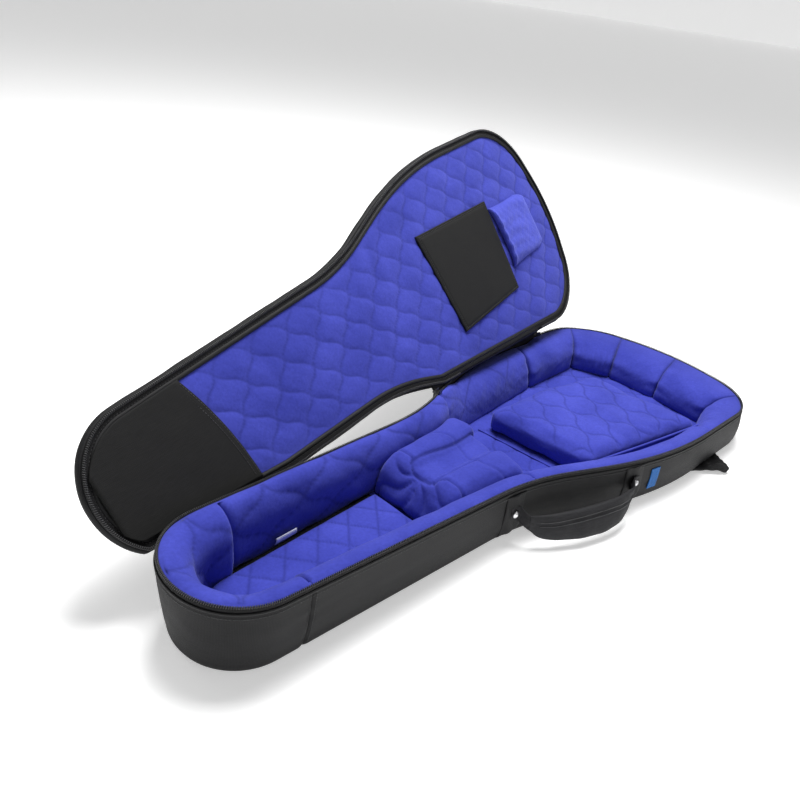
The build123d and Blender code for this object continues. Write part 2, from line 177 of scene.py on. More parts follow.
def at_places(ring, places):
    places = np.asarray(places, float)
    low = np.floor(places).astype(int)
    part = (places - low)[:, None]
    n = len(ring["p"])
    a, b = low % n, (low + 1) % n
    out = ring["out"][a] * (1 - part) + ring["out"][b] * part
    out /= np.linalg.norm(out, axis=1)[:, None]
    points = ring["p"][a] * (1 - part) + ring["p"][b] * part
    return {"p": points, "out": out, "s": places * RING_STEP, "rim": rim_z(points[:, 0])}


def stations(ring, start, end, step):
    """Even stations along a ring, counter-clockwise, between two (x, side) places."""
    a, b = place(ring, *start), place(ring, *end)
    span = (b - a) % len(ring["p"])
    count = max(int(span * RING_STEP / step), 4)
    return at_places(ring, a + np.linspace(0, span, count + 1))


def all_round(ring, step):
    return at_places(ring, np.arange(0, len(ring["p"]) - 1e-6, step / RING_STEP))


# ---------------------------------------------------------------- soft noise, quilting and meshes
def ripple(points, size, seed, octaves=3):
    """Smooth wrinkle field between about -1 and 1, for points in metres and folds of the given size."""
    rng = np.random.default_rng(seed)
    total = np.zeros(len(points))
    for k in range(octaves):
        for _ in range(4):
            way = rng.normal(size=3)
            way *= TAU / (size / 1.9**k) / np.linalg.norm(way)
            total += np.sin(points @ way + rng.uniform(0, TAU)) / (2.2 * 1.7**k)
    return total / 2


def grid_ripple(grid, size, seed, octaves=3):
    """The wrinkle field over a grid of points (n, m, 3)."""
    return ripple(grid.reshape(-1, 3), size, seed, octaves).reshape(grid.shape[:2])


def plan_ripple(x, y, size, seed, octaves=3):
    """The wrinkle field over a plan grid."""
    return grid_ripple(np.dstack([x, y, 0 * x]), size, seed, octaves)


def shoulder(distance, radius):
    """0 at an edge, rising steeply and rounding over to 1."""
    return np.sqrt(1 - (1 - np.clip(distance / radius, 0, 1)) ** 2)


def diamonds(u, v, wide, tall, wave=0.0):
    """Quilting: how far each point has puffed up between the seams, and how near it is to a seam, which
    weights the painted seam shade.
    """
    a, b = u / wide + v / tall, u / wide - v / tall
    a, b = a + wave * np.sin(TAU * b), b + wave * np.sin(TAU * a)
    puff = (np.abs(np.sin(math.pi * a)) * np.abs(np.sin(math.pi * b))) ** 0.45
    cell = 1 / math.hypot(1 / wide, 1 / tall)
    near = np.minimum(np.abs(a - np.round(a)), np.abs(b - np.round(b))) * cell
    return puff, np.exp(-((near / (1.6 * MM)) ** 2))


def link(obj):
    bpy.context.scene.collection.objects.link(obj)
    return obj


def add_mesh(name, verts, faces, uv=None):
    mesh = bpy.data.meshes.new(name)
    mesh.from_pydata(np.asarray(verts).tolist(), [], [list(map(int, f)) for f in faces])
    if uv is not None:
        layer = mesh.uv_layers.new(name="UVMap")
        layer.data.foreach_set("uv", np.asarray(uv, np.float32).ravel())
    obj = link(bpy.data.objects.new(name, mesh))
    work = bmesh.new()
    work.from_mesh(mesh)
    bmesh.ops.recalc_face_normals(work, faces=work.faces)
    work.to_mesh(mesh)
    work.free()
    mesh.polygons.foreach_set("use_smooth", [True] * len(mesh.polygons))
    return obj


# Stores the per-point weight of the painted seam shade, which the plush material reads as its seam attribute.
def set_seam_shade(obj, values):
    layer = obj.data.attributes.new("seam", "FLOAT", "POINT")
    layer.data.foreach_set("value", np.asarray(values, np.float32))


def skin(name, points, around=False, along=False, seam=None):
    """Mesh over a grid of points (n, m, 3), closed around its section and, if asked, along its length."""
    n, m = points.shape[:2]
    rows, cols = n if along else n - 1, m if around else m - 1
    i, j = (k.ravel() for k in np.meshgrid(np.arange(rows), np.arange(cols), indexing="ij"))
    corners = [(i, j), ((i + 1) % n, j), ((i + 1) % n, (j + 1) % m), (i, (j + 1) % m)]
    faces = np.stack([a * m + b for a, b in corners], 1).tolist()
    du = np.linalg.norm(np.diff(points, axis=0, append=points[:1]), axis=2).mean(1)
    dv = np.linalg.norm(np.diff(points, axis=1, append=points[:, :1]), axis=2).mean(0)
    u, v = np.r_[0, np.cumsum(du)], np.r_[0, np.cumsum(dv)]
    uv = np.stack([u[i], v[j], u[i + 1], v[j], u[i + 1], v[j + 1], u[i], v[j + 1]], 1).reshape(-1, 2)
    if around and not along:
        faces += [list(range(m))[::-1], list(range((n - 1) * m, n * m))]
        uv = np.r_[uv, np.zeros((2 * m, 2))]
    obj = add_mesh(name, points.reshape(-1, 3), faces, uv)
    if seam is not None:
        set_seam_shade(obj, np.asarray(seam).ravel())
    return obj


def two_faced(name, face, back):
    """Closed cloth between two grids of points."""
    return skin(name, np.concatenate([face, back[:, ::-1]], 1), around=True)


def section(st, out, z):
    """Grid of points from stations and, for each, a row of outward offsets and heights."""
    out, z = np.broadcast_arrays(np.atleast_2d(out), np.atleast_2d(z))
    n = len(st["p"])
    out, z = (np.broadcast_to(k, (n, k.shape[1])) for k in (out, z))
    flat = st["p"][:, None] + st["out"][:, None] * out[..., None]
    return np.dstack([flat, z])


def end_pinch(st, first, last):
    """0 at both ends of a run of stations and 1 beyond their reach."""
    run = st["s"] - st["s"][0]
    return shoulder(np.minimum(run / first, (run[-1] - run) / last), 1)


STITCH_PITCH, STITCH_LENGTH, STITCH_WIDE, STITCH_HIGH = 4 * MM, 2.9 * MM, 0.45 * MM, 0.35 * MM


def stitches(name, path, up, body):
    """A row of raised thread stitches along a path (n, 3) on a surface whose outward normals are up."""
    data = resample(np.c_[path, up], STITCH_PITCH, closed=False)
    p, normal = data[:, :3], data[:, 3:]
    along = np.gradient(p, axis=0)
    along /= np.linalg.norm(along, axis=1)[:, None]
    normal /= np.linalg.norm(normal, axis=1)[:, None]
    side = np.cross(along, normal)
    shape = [(-0.5, 0, 0), (-0.3, 1, 0.7), (-0.3, -1, 0.7), (0.3, 1, 0.7), (0.3, -1, 0.7), (0.5, 0, 0)]
    verts = [
        p + along * a * STITCH_LENGTH + side * b * STITCH_WIDE + normal * c * STITCH_HIGH for a, b, c in shape
    ]
    verts = np.stack(verts, 1)
    base = np.arange(len(p))[:, None] * len(shape)
    faces = []
    for pattern in ((0, 2, 1), (1, 2, 4, 3), (3, 4, 5), (0, 1, 3, 5), (0, 5, 4, 2)):
        faces += (base + np.array(pattern)).tolist()
    dress(add_mesh(name, verts.reshape(-1, 3), faces), THREAD, body)


def nodes_of(name):
    mat = bpy.data.materials.new(name)
    mat.use_nodes = True
    tree = mat.node_tree
    return mat, tree, tree.nodes["Principled BSDF"]


def add_node(tree, kind, **values):
    node = tree.nodes.new(kind)
    for key, value in values.items():
        if hasattr(node, key):
            setattr(node, key, value)
        else:
            node.inputs[key.replace("_", " ")].default_value = value
    return node


def ramp(tree, source, low, high, dark, light):
    node = add_node(tree, "ShaderNodeValToRGB")
    node.color_ramp.elements[0].position = low
    node.color_ramp.elements[1].position = high
    node.color_ramp.elements[0].color = (*dark, 1)
    node.color_ramp.elements[1].color = (*light, 1)
    tree.links.new(source, node.inputs["Fac"])
    return node.outputs["Color"]


def mix(tree, fac, a, b, blend="MIX"):
    node = add_node(tree, "ShaderNodeMix", data_type="RGBA", blend_type=blend)
    for value, socket in ((fac, node.inputs[0]), (a, node.inputs[6]), (b, node.inputs[7])):
        if isinstance(value, bpy.types.NodeSocket):
            tree.links.new(value, socket)
        else:
            socket.default_value = value
    return node.outputs[2]


def bump(tree, bsdf, height, strength, distance, normal=None):
    node = add_node(tree, "ShaderNodeBump", Strength=strength, Distance=distance)
    tree.links.new(height, node.inputs["Height"])
    if normal is not None:
        tree.links.new(normal, node.inputs["Normal"])
    tree.links.new(node.outputs["Normal"], bsdf.inputs["Normal"])
    return node.outputs["Normal"]


def plush(name, colour, shade, nap=0.16):
    """Short velvet pile: mottled nap, a bright sheen, and painted shade that darkens the plush along its seam
    grooves.
    """
    mat, tree, bsdf = nodes_of(name)
    where = add_node(tree, "ShaderNodeTexCoord").outputs["Object"]
    broad = add_node(tree, "ShaderNodeTexNoise", Scale=9.0, Detail=4.0, Roughness=0.55, Distortion=0.6)
    fine = add_node(tree, "ShaderNodeTexNoise", Scale=1400.0, Detail=2.0)
    tuft = add_node(tree, "ShaderNodeTexNoise", Scale=260.0, Detail=3.0)
    for texture in (broad, fine, tuft):
        tree.links.new(where, texture.inputs["Vector"])
    base = ramp(tree, broad.outputs["Fac"], 0.3, 0.72, shade, colour)
    speck = ramp(tree, tuft.outputs["Fac"], 0.3, 0.7, (1 - nap,) * 3, (1, 1, 1))
    base = mix(tree, 1.0, base, speck, "MULTIPLY")
    # Painted shade: the seam attribute darkens the base colour towards about a third of the shade colour in
    # the seam grooves.
    seam = add_node(tree, "ShaderNodeAttribute", attribute_name="seam").outputs["Fac"]
    dark = add_node(tree, "ShaderNodeMath", operation="MULTIPLY")
    tree.links.new(seam, dark.inputs[0])
    dark.inputs[1].default_value = 0.45
    base = mix(tree, dark.outputs[0], base, (*(0.35 * c for c in shade), 1))
    tree.links.new(base, bsdf.inputs["Base Color"])
    bsdf.inputs["Roughness"].default_value = 0.95
    bsdf.inputs["Specular IOR Level"].default_value = 0.15
    bsdf.inputs["Sheen Weight"].default_value = 0.22
    bsdf.inputs["Sheen Roughness"].default_value = 0.45
    bsdf.inputs["Sheen Tint"].default_value = (0.55, 0.60, 1.0, 1)
    first = bump(tree, bsdf, fine.outputs["Fac"], 0.35, 0.0006)
    bump(tree, bsdf, tuft.outputs["Fac"], 0.25, 0.0012, first)
    return mat


def woven(name, colour, light, pitch, roughness=0.62, depth=0.5, streak=0.25):
    """Woven nylon: two crossing sets of threads from the piece's own UVs, which are in metres."""
    mat, tree, bsdf = nodes_of(name)
    uv = add_node(tree, "ShaderNodeTexCoord").outputs["UV"]
    waves = []
    for direction in ("X", "Y"):
        wave = add_node(tree, "ShaderNodeTexWave", bands_direction=direction, Scale=TAU / pitch / 20)
        wave.inputs["Distortion"].default_value = 0.6
        wave.inputs["Detail Scale"].default_value = 2.0
        tree.links.new(uv, wave.inputs["Vector"])
        waves.append(wave.outputs["Fac"])
    weave = add_node(tree, "ShaderNodeMath", operation="MULTIPLY")
    tree.links.new(waves[0], weave.inputs[0])
    tree.links.new(waves[1], weave.inputs[1])
    stretch = add_node(tree, "ShaderNodeMapping")
    stretch.inputs["Scale"].default_value = (60, 900, 60)
    tree.links.new(uv, stretch.inputs["Vector"])
    lines = add_node(tree, "ShaderNodeTexNoise", Scale=1.0, Detail=3.0)
    tree.links.new(stretch.outputs["Vector"], lines.inputs["Vector"])
    base = ramp(tree, weave.outputs[0], 0.0, 0.9, colour, light)
    dim = ramp(tree, lines.outputs["Fac"], 0.25, 0.75, (1 - streak,) * 3, (1 + streak,) * 3)
    base = mix(tree, 1.0, base, dim, "MULTIPLY")
    tree.links.new(base, bsdf.inputs["Base Color"])
    bsdf.inputs["Roughness"].default_value = roughness
    bsdf.inputs["Specular IOR Level"].default_value = 0.28
    first = bump(tree, bsdf, weave.outputs[0], depth, 0.0004)
    bump(tree, bsdf, lines.outputs["Fac"], 0.3, 0.0005, first)
    return mat


def plain(name, colour, light, roughness, metallic=0.0, scale=700.0):
    """Moulded plastic, thread, metal or foam with a fine grain."""
    mat, tree, bsdf = nodes_of(name)
    where = add_node(tree, "ShaderNodeTexCoord").outputs["Object"]
    grain = add_node(tree, "ShaderNodeTexNoise", Scale=scale, Detail=3.0)
    tree.links.new(where, grain.inputs["Vector"])
    tree.links.new(ramp(tree, grain.outputs["Fac"], 0.3, 0.7, colour, light), bsdf.inputs["Base Color"])
    bsdf.inputs["Roughness"].default_value = roughness
    bsdf.inputs["Metallic"].default_value = metallic
    bump(tree, bsdf, grain.outputs["Fac"], 0.2, 0.0003)
    return mat


BLUE = plush("blue_plush", (0.066, 0.080, 0.50), (0.038, 0.048, 0.35))
POUCH_BLUE = plush("pouch_plush", (0.088, 0.106, 0.58), (0.060, 0.074, 0.45))
NYLON = woven("shell_nylon", (0.003, 0.003, 0.004), (0.011, 0.011, 0.012), 1.4 * MM)
TAPE = woven("zipper_tape", (0.004, 0.004, 0.005), (0.014, 0.014, 0.015), 1.0 * MM)
HANDLE = woven("handle_cloth", (0.012, 0.012, 0.014), (0.034, 0.034, 0.038), 1.4 * MM, 0.7)
BINDING = woven("binding", (0.005, 0.005, 0.006), (0.017, 0.017, 0.018), 0.9 * MM, 0.5)
PATCH = woven("patch_cloth", (0.006, 0.006, 0.006), (0.018, 0.018, 0.018), 1.2 * MM, 0.8)
COIL = plain("coil", (0.030, 0.030, 0.032), (0.070, 0.070, 0.074), 0.35)
THREAD = plain("thread", (0.020, 0.020, 0.022), (0.050, 0.050, 0.054), 0.6)
METAL = plain("dark_metal", (0.050, 0.050, 0.054), (0.090, 0.090, 0.095), 0.32, 0.9, 90)
NICKEL = plain("nickel", (0.55, 0.55, 0.57), (0.75, 0.75, 0.77), 0.28, 1.0, 120)
TAG = woven("tag_cloth", (0.008, 0.100, 0.36), (0.020, 0.180, 0.52), 0.8 * MM)
LABEL = woven("label_cloth", (0.70, 0.72, 0.80), (0.82, 0.84, 0.92), 0.7 * MM, 0.5)


def dress(obj, mat, body=None):
    """Give a piece its material and slot, and let it ride on a body."""
    obj.data.materials.clear()
    obj.data.materials.append(mat)
    if body:
        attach(obj, body)
    return obj


def between(a, b, t):
    return a + (b - a) * t


# ---------------------------------------------------------------- tray: black shell
def flare(x):
    """How far the foot of the wall stands outside the rim: the tray widens downwards at its body end."""
    return between(-9 * MM, 5 * MM, (x - HEAD_X) / (TAIL_X - HEAD_X))


def wall_face(st, t):
    """Outward offset and height of the wall's outer face, t from 0 under the tape to 1 at the foot."""
    spread = flare(st["p"][:, 0])[:, None]
    top = (st["rim"] - 7.5 * MM)[:, None]
    foot_r = 13 * MM
    straight = np.clip(t / 0.8, 0, 1)[None]
    turn = np.clip((t - 0.8) / 0.2, 0, 1)[None] * math.pi / 2
    z = between(top, foot_r + 1 * MM, straight) - foot_r * np.sin(turn)
    out = spread * straight**0.8 + 2.2 * MM * np.sin(math.pi * straight) - foot_r * (1 - np.cos(turn))
    return out, z


def gusset(name, start, end, seed):
    st = stations(RING, start, end, 3 * MM)
    t = np.linspace(0, 1, 34)
    out, z = wall_face(st, t)
    run = st["s"] - st["s"][0]
    edge = np.minimum(run, run[-1] - run)[:, None]
    folds = grid_ripple(section(st, out, z) * (1, 1, 2.2), 0.16, seed) * 0.9 * MM
    pucker = np.exp(-edge / (16 * MM)) * np.sin(z / (4.5 * MM) + 1.5 * np.sin(z / (11 * MM))) * 0.7 * MM
    pinch = 2.2 * MM * np.exp(-((edge / (2.6 * MM)) ** 2))
    out = out + (folds + pucker) * np.sin(math.pi * np.clip(t * 1.1, 0, 1))[None] - pinch
    inner_out = out[:, ::-3] - 3 * MM
    inner_z = np.maximum(z[:, ::-3], 2 * MM)
    points = section(st, np.hstack([out, inner_out]), np.hstack([z, inner_z]))
    obj = dress(skin(name, points, around=True), NYLON, "tray")
    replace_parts(obj, name.replace("_cloth", ""))


def tray_shell():
    head, end = (HEAD_SEAM, 1), (END_SEAM, 1)
    near_head, near_end = (HEAD_SEAM, -1), (END_SEAM, -1)
    gusset("far_gusset_cloth", end, head, 1)
    gusset("head_gusset_cloth", head, near_head, 2)
    gusset("near_gusset_cloth", near_head, near_end, 3)
    gusset("end_gusset_cloth", near_end, end, 4)
    for x, side in (head, end, near_head, near_end):
        for shift in (-3.5 * MM, 3.5 * MM):
            seam_stitches(x + shift, side)


def seam_stitches(x, side):
    """Topstitching down the wall beside a gusset seam."""
    st = at_places(RING, [place(RING, x, side)])
    t = np.linspace(0.03, 0.8, 30)
    out, z = wall_face(st, t)
    points = section(st, out + 0.4 * MM, z)[0]
    up = np.tile([*st["out"][0], 0], (len(points), 1))
    name = f"wall_stitches_{'far' if side > 0 else 'near'}_{round(x / MM)}".replace("-", "m")
    stitches(name, points, up, "tray")


def inset_grid(inset, nx, ny):
    """Plan grid inside the outline moved inwards by inset, and each point's distance from its long edges."""
    ring = RING["p"] - RING["out"] * np.broadcast_to(inset, len(RING["p"]))[:, None]
    far, near = sides({"p": ring})
    x0, x1 = ring[:, 0].min(), ring[:, 0].max()
    x, u = np.meshgrid(edge_spaced(x0, x1, nx), edge_spaced(0, 1, ny), indexing="ij")
    return x, between(near(x), far(x), u), np.minimum(u, 1 - u) * (far(x) - near(x))


def base_cloth():
    """The woven back of the bag, slightly domed and turned up at its edge."""
    x, y, edge = inset_grid(12 * MM - flare(RING["p"][:, 0]), 240, 70)
    z = 1.4 * MM * np.exp(-edge / (6 * MM)) + 0.2 * MM
    under = np.dstack([x, y, z])
    over = np.dstack([x, y, np.full_like(z, 6 * MM)])
    obj = closed_plate("base_cloth", under, over)
    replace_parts(dress(obj, NYLON, "tray"), "base_panel")


def edge_spaced(a, b, count):
    """Values from a to b that crowd towards both ends."""
    return between(a, b, 0.5 - 0.5 * np.cos(np.linspace(0, math.pi, count)))


def closed_plate(name, low, high, seam=None):
    """Closed form between two grids of points that share their plan."""
    n, m = low.shape[:2]
    loop = [(i, 0) for i in range(n)] + [(n - 1, j) for j in range(1, m)]
    loop += [(i, m - 1) for i in range(n - 2, -1, -1)] + [(0, j) for j in range(m - 2, 0, -1)]
    index = np.arange(n * m).reshape(n, m)
    quads = np.stack([index[:-1, :-1], index[1:, :-1], index[1:, 1:], index[:-1, 1:]], -1).reshape(-1, 4)
    verts = np.r_[high.reshape(-1, 3), low.reshape(-1, 3)]
    rim = np.array([index[k] for k in loop])
    after = np.roll(rim, -1)
    walls = np.stack([rim, after, after + n * m, rim + n * m], 1)
    faces = np.r_[quads, quads[:, ::-1] + n * m, walls]
    uv = verts[faces.ravel()][:, :2]
    obj = add_mesh(name, verts, faces.tolist(), uv)
    if seam is not None:
        set_seam_shade(obj, np.r_[np.ravel(seam), np.ravel(seam) * 0])
    return obj


def teeth(name, ring, start, end, out, lift):
    """Nylon coil of a zipper: a fine helix that lies along the rim."""
    pitch, radius, wire = 2.4 * MM, 1.4 * MM, 0.5 * MM
    st = stations(ring, start, end, pitch / 8)
    turn = TAU * st["s"] / pitch
    radial = np.c_[st["out"] * np.cos(turn)[:, None], np.sin(turn)]
    along = np.c_[-st["out"][:, 1], st["out"][:, 0], np.zeros(len(turn))]
    centre = np.c_[st["p"] + st["out"] * out, st["rim"] + lift] + radial * radius
    angles = np.arange(4) * TAU / 4
    points = np.stack([centre + wire * (math.cos(a) * radial + math.sin(a) * along) for a in angles], 1)
    return skin(name, points, around=True)


def bar(st, out0, out1, low, high, crown=0.0):
    """Closed section of a flat tape between two offsets and two heights above the rim."""
    w = np.array([0, 0.15, 0.5, 0.85, 1])
    top = high + crown * np.sin(math.pi * w)
    out = np.r_[between(out0, out1, w), between(out1, out0, w)]
    z = np.r_[top, np.full(len(w), low)]
    return section(st, out[None], st["rim"][:, None] + z[None])


def tray_zipper():
    free = ((HINGE_X0 - 15 * MM, 1), (HINGE_X1 + 15 * MM, 1))
    st = stations(RING, *free, 4 * MM)
    tape = skin("tray_tape", bar(st, -3.0 * MM, -0.9 * MM, -9 * MM, -2.2 * MM), around=True)
    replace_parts(dress(tape, TAPE, "tray"), "tray_zipper_tape")
    hem = skin("tray_hem", bead(st, -0.2 * MM, -8.6 * MM, 1.2 * MM, 1.3), around=True)
    dress(hem, BINDING, "tray")
    coil = dress(teeth("tray_coil", RING, *free, -2.0 * MM, -1.3 * MM), COIL, "tray")
    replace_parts(coil, "tray_zipper_coil")
    st = all_round(RING, 4 * MM)
    out, z = wall_face(st, np.array([0.07]))
    path = section(st, out + 0.7 * MM, z)[:, 0]
    stitches("rim_stitches", path, np.c_[st["out"], np.zeros(len(path))], "tray")


def bead(st, out, lift, radius, tall=1.0):
    """Closed round section that runs along the rim, such as piping."""
    a = np.arange(8) * TAU / 8
    z = (st["rim"] + lift)[:, None] + tall * radius * np.sin(a)[None]
    return section(st, out + radius * np.cos(a)[None], z)


# ---------------------------------------------------------------- tray: wall pads
def roll_profile(depth, low, high):
    """Section of a roll against the wall: inner face up, over a broad round shoulder and down the wall."""
    across, tall = depth - 9 * MM, 0.42 * (high - low)
    up = np.linspace(0, 1, 12)[:-1]
    turn = np.linspace(0, math.pi / 2, 16)
    flat = np.linspace(0, 1, 4)[1:]
    out = np.r_[np.full(11, -depth), -depth + across * (1 - np.cos(turn)), between(-9 * MM, -3.5 * MM, flat)]
    z = np.r_[between(low, high - tall, up), high - tall * (1 - np.sin(turn)), high - 1.5 * MM * flat]
    return np.r_[out, -3.5 * MM, -17 * MM], np.r_[z, high - 8 * MM, low]


def wall_pad(name, start, end, depth, seed, quilt=None, pinches=(11 * MM, 11 * MM)):
    """Pad that follows the wall: it swells between its seams and is pinched in at both ends."""
    st = stations(RING, start, end, 2.6 * MM)
    low = FLOOR + 0.5 * MM
    tops = st["rim"] - 0.5 * MM
    outs, zs = [], []
    for top in tops:
        line, z = roll_profile(depth, low, top)
        outs.append(line)
        zs.append(z)
    out, z = np.array(outs), np.array(zs)
    inside = (out < -9 * MM).astype(float)
    rise = np.clip((z - low) / (tops - low)[:, None], 0, 1)
    fit = end_pinch(st, *pinches)[:, None]
    out = out - inside * 3 * MM * np.sin(math.pi * np.clip(rise, 0, 1)) ** 0.7 * fit
    out = out + inside * (1 - fit) * 5 * MM
    z = z - inside * (1 - fit) * 4 * MM * (rise > 0.5)
    grid = section(st, out, z)
    seam = np.zeros(out.shape)
    wrinkle = grid_ripple(grid, 0.07, seed) * 1.1 * MM
    if quilt:
        run = (st["s"] - st["s"][0])[:, None] + 0 * z
        puff, seam = diamonds(run, z, *quilt)
        wrinkle = wrinkle + (puff - 0.8) * 3.2 * MM
        seam = seam * inside
    grid[..., :2] -= st["out"][:, None] * (wrinkle * inside * fit)[..., None]
    grid[..., 2] += np.where(rise > 0.93, wrinkle * 0.4, 0)
    obj = skin(name, grid, around=True, seam=seam)
    return soften(dress(obj, BLUE, "tray"))


def soften(obj):
    return obj


def side_pads():
    head, near_head = (HEAD_SEAM, 1), (HEAD_SEAM, -1)
    quilt = (0.095, 0.070, 0.06)
    bumper = wall_pad("head_bumper_pad", head, near_head, BUMPER_DEPTH, 11, quilt, (11 * MM, 0.4 * MM))
    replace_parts(bumper, "head_bumper")
    waist, corner = (WAIST_SEAM, -1), (NEAR_CORNER, -1)
    near = wall_pad("near_neck_pad", near_head, waist, NEAR_DEPTH, 12, pinches=(0.4 * MM, 2 * MM))
    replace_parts(near, "near_neck_roll")
    body = wall_pad("near_body_pad", waist, corner, NEAR_DEPTH, 13, pinches=(2 * MM, 6 * MM))
    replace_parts(body, "near_body_roll")
    far = wall_pad("far_neck_quilt", (WING_X, 1), head, FAR_DEPTH, 14, (0.105, 0.066, 0.05))
    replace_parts(far, "far_neck_pad")


def from_side(x, side, depth):
    edge = FAR_Y(x) if side > 0 else NEAR_Y(x)
    return np.array([x, edge - side * depth])


def body_pad_seams():
    """Foot of each seam between the leaning pads and a far point that gives the seam's direction."""
    feet = [from_side(WING_X, 1, 27 * MM), from_side(262 * MM, 1, 63 * MM), from_side(405 * MM, 1, 63 * MM)]
    feet += [np.array([437 * MM, 62 * MM]), np.array([437 * MM, -31 * MM])]
    feet += [from_side(424 * MM, -1, 62 * MM), from_side(NEAR_CORNER, -1, 30 * MM)]
    outer = [(-12, 330), (335, 330), (620, 330), (800, 200), (800, 20), (800, -330), (300, -330)]
    return feet, [np.array(p) * MM for p in outer]


def wall_hit(foot, way, inset):
    """Where a plan ray meets the outline moved inwards."""
    line = RING["p"] - RING["out"] * inset
    rel = line - foot
    ahead = rel @ way
    aside = np.abs(rel[:, 0] * way[1] - rel[:, 1] * way[0])
    return line[np.argmin(np.where(ahead > 0, aside, 9))]


def smooth_box(x, low, high, soft):
    """1 between low and high, with soft ends."""
    return float(np.clip(min(x - low, high - x) / soft, 0, 1))


def leaning_pad(name, i, node, bulge, seed, pleats=0, quilt=None):
    """Cushion between two seams whose inner face leans outwards as it rises to the rim."""
    feet, outer = body_pad_seams()
    ways = [(outer[k] - feet[k]) / np.linalg.norm(outer[k] - feet[k]) for k in (i, i + 1)]
    count = max(int(np.linalg.norm(feet[i + 1] - feet[i]) / (2.4 * MM)), 20)
    grid, seam = [], []
    for u in np.linspace(0, 1, count):
        foot = between(feet[i], feet[i + 1], u)
        way = between(ways[0], ways[1], u)
        way /= np.linalg.norm(way)
        wall = wall_hit(foot, way, 3.6 * MM)
        top_z = rim_z(wall[0]) - 1 * MM
        lean = min(PAD_LEAN * (top_z - FLOOR) / (RIM_MID - FLOOR), np.linalg.norm(wall - foot) - 8 * MM)
        edge = min(u, 1 - u) * np.linalg.norm(feet[i + 1] - feet[i])
        full = math.sqrt(1 - (1 - min(edge / (15 * MM), 1)) ** 2)
        sink = 10 * MM * smooth_box(wall[0], HINGE_X0 - 30 * MM, HINGE_X1 + 20 * MM, 30 * MM) * (wall[1] > 0)
        row, marks = pad_row(foot, lean, wall, way, top_z, bulge * full, 1 - full, sink, i > 0)
        pucker = 1.6 * MM * math.exp(-edge / (22 * MM)) * np.sin(row[:, 2] / (3.6 * MM)) * marks
        row[:, :2] += way * pucker[:, None]
        if pleats:
            depth = 5 * MM * abs(math.sin(pleats * math.pi * u)) ** 0.6
            row[:, :2] -= way * (depth * marks * full)[:, None]
        grid.append(row)
        # Painted shade along the seams where neighbouring pads meet, given as a seam weight.
        seam.append(marks * 0 + (0.8 * math.exp(-((edge / (2.5 * MM)) ** 2))))
    grid, seam = np.array(grid), np.array(seam)
    fold = grid_ripple(grid, 0.06, seed, 4) * 2.2 * MM
    window = np.sin(math.pi * np.linspace(0, 1, seam.shape[1])) ** 0.7
    toward = (ways[0] + ways[1]) / 2
    grid[..., :2] -= toward * (fold * window)[..., None]
    if quilt:
        run = np.linspace(0, np.linalg.norm(feet[i + 1] - feet[i]), count)[:, None] + 0 * seam
        puff, lines = diamonds(run, grid[..., 2], *quilt)
        grid[..., :2] -= toward * ((puff - 0.8) * 2.6 * MM * window)[..., None]
        seam = np.maximum(seam, lines * window)
    obj = soften(dress(skin(name, grid, around=True, seam=seam), BLUE, "tray"))
    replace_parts(obj, node)


def pad_row(foot, lean, wall, way, top_z, bulge, pull, sink, steep):
    """One closed section of a leaning pad, and how much of its inner face each point belongs to."""
    v = np.linspace(0, 1, 46)[:, None]
    low, reach = FLOOR + 0.4 * MM, (wall - foot) @ way
    rise = top_z - low
    middle, high = (0.05, 0.5) if steep else (0.30, 0.85)
    belly = (middle * lean - 1.4 * bulge + 5 * MM * pull, low + 0.6 * rise)
    brow = (high * lean, top_z + 4 * MM - 9 * MM * pull)
    bend = np.array([(5 * MM * pull, low), belly, brow, (reach, top_z - 2 * MM - sink)])
    weights = ((1 - v) ** 3, 3 * (1 - v) ** 2 * v, 3 * (1 - v) * v**2, v**3)
    out, z = sum(w * p for w, p in zip(weights, bend)).T
    plan = np.r_[foot + way * out[:, None], [between(wall, foot, 0.2)]]
    marks = np.r_[np.sin(math.pi * np.clip(v[:, 0] * 1.1, 0, 1)) ** 0.6, 0]
    return np.c_[plan, np.r_[z, low]], marks


def body_pads():
    leaning_pad("waist_wing_cushion", 0, "waist_wing_pad", 5 * MM, 21, quilt=(0.13, 0.09, 0.05))
    leaning_pad("far_side_cushion", 1, "far_side_pad", 6 * MM, 22)
    leaning_pad("far_corner_cushion", 2, "far_corner_pad", 6 * MM, 23, pleats=7)
    leaning_pad("end_cushion", 3, "end_pad", 6 * MM, 24)
    leaning_pad("near_end_cushion", 4, "near_end_pad", 6 * MM, 25)
    leaning_pad("near_corner_cushion", 5, "near_corner_roll", 4 * MM, 26)


# ---------------------------------------------------------------- tray: floor, neck pad, cradle and block
def floor_quilt():
    x, y, _ = inset_grid(24 * MM, 400, 130)
    puff, seam = diamonds(x, y, 0.085, 0.070, 0.06)
    z = FLOOR + (puff - 1) * 2.0 * MM
    low = np.dstack([x, y, np.full_like(z, 6.2 * MM)])
    obj = dress(closed_plate("floor_quilt", low, np.dstack([x, y, z]), seam), BLUE, "tray")
    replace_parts(soften(obj), "floor_lining")


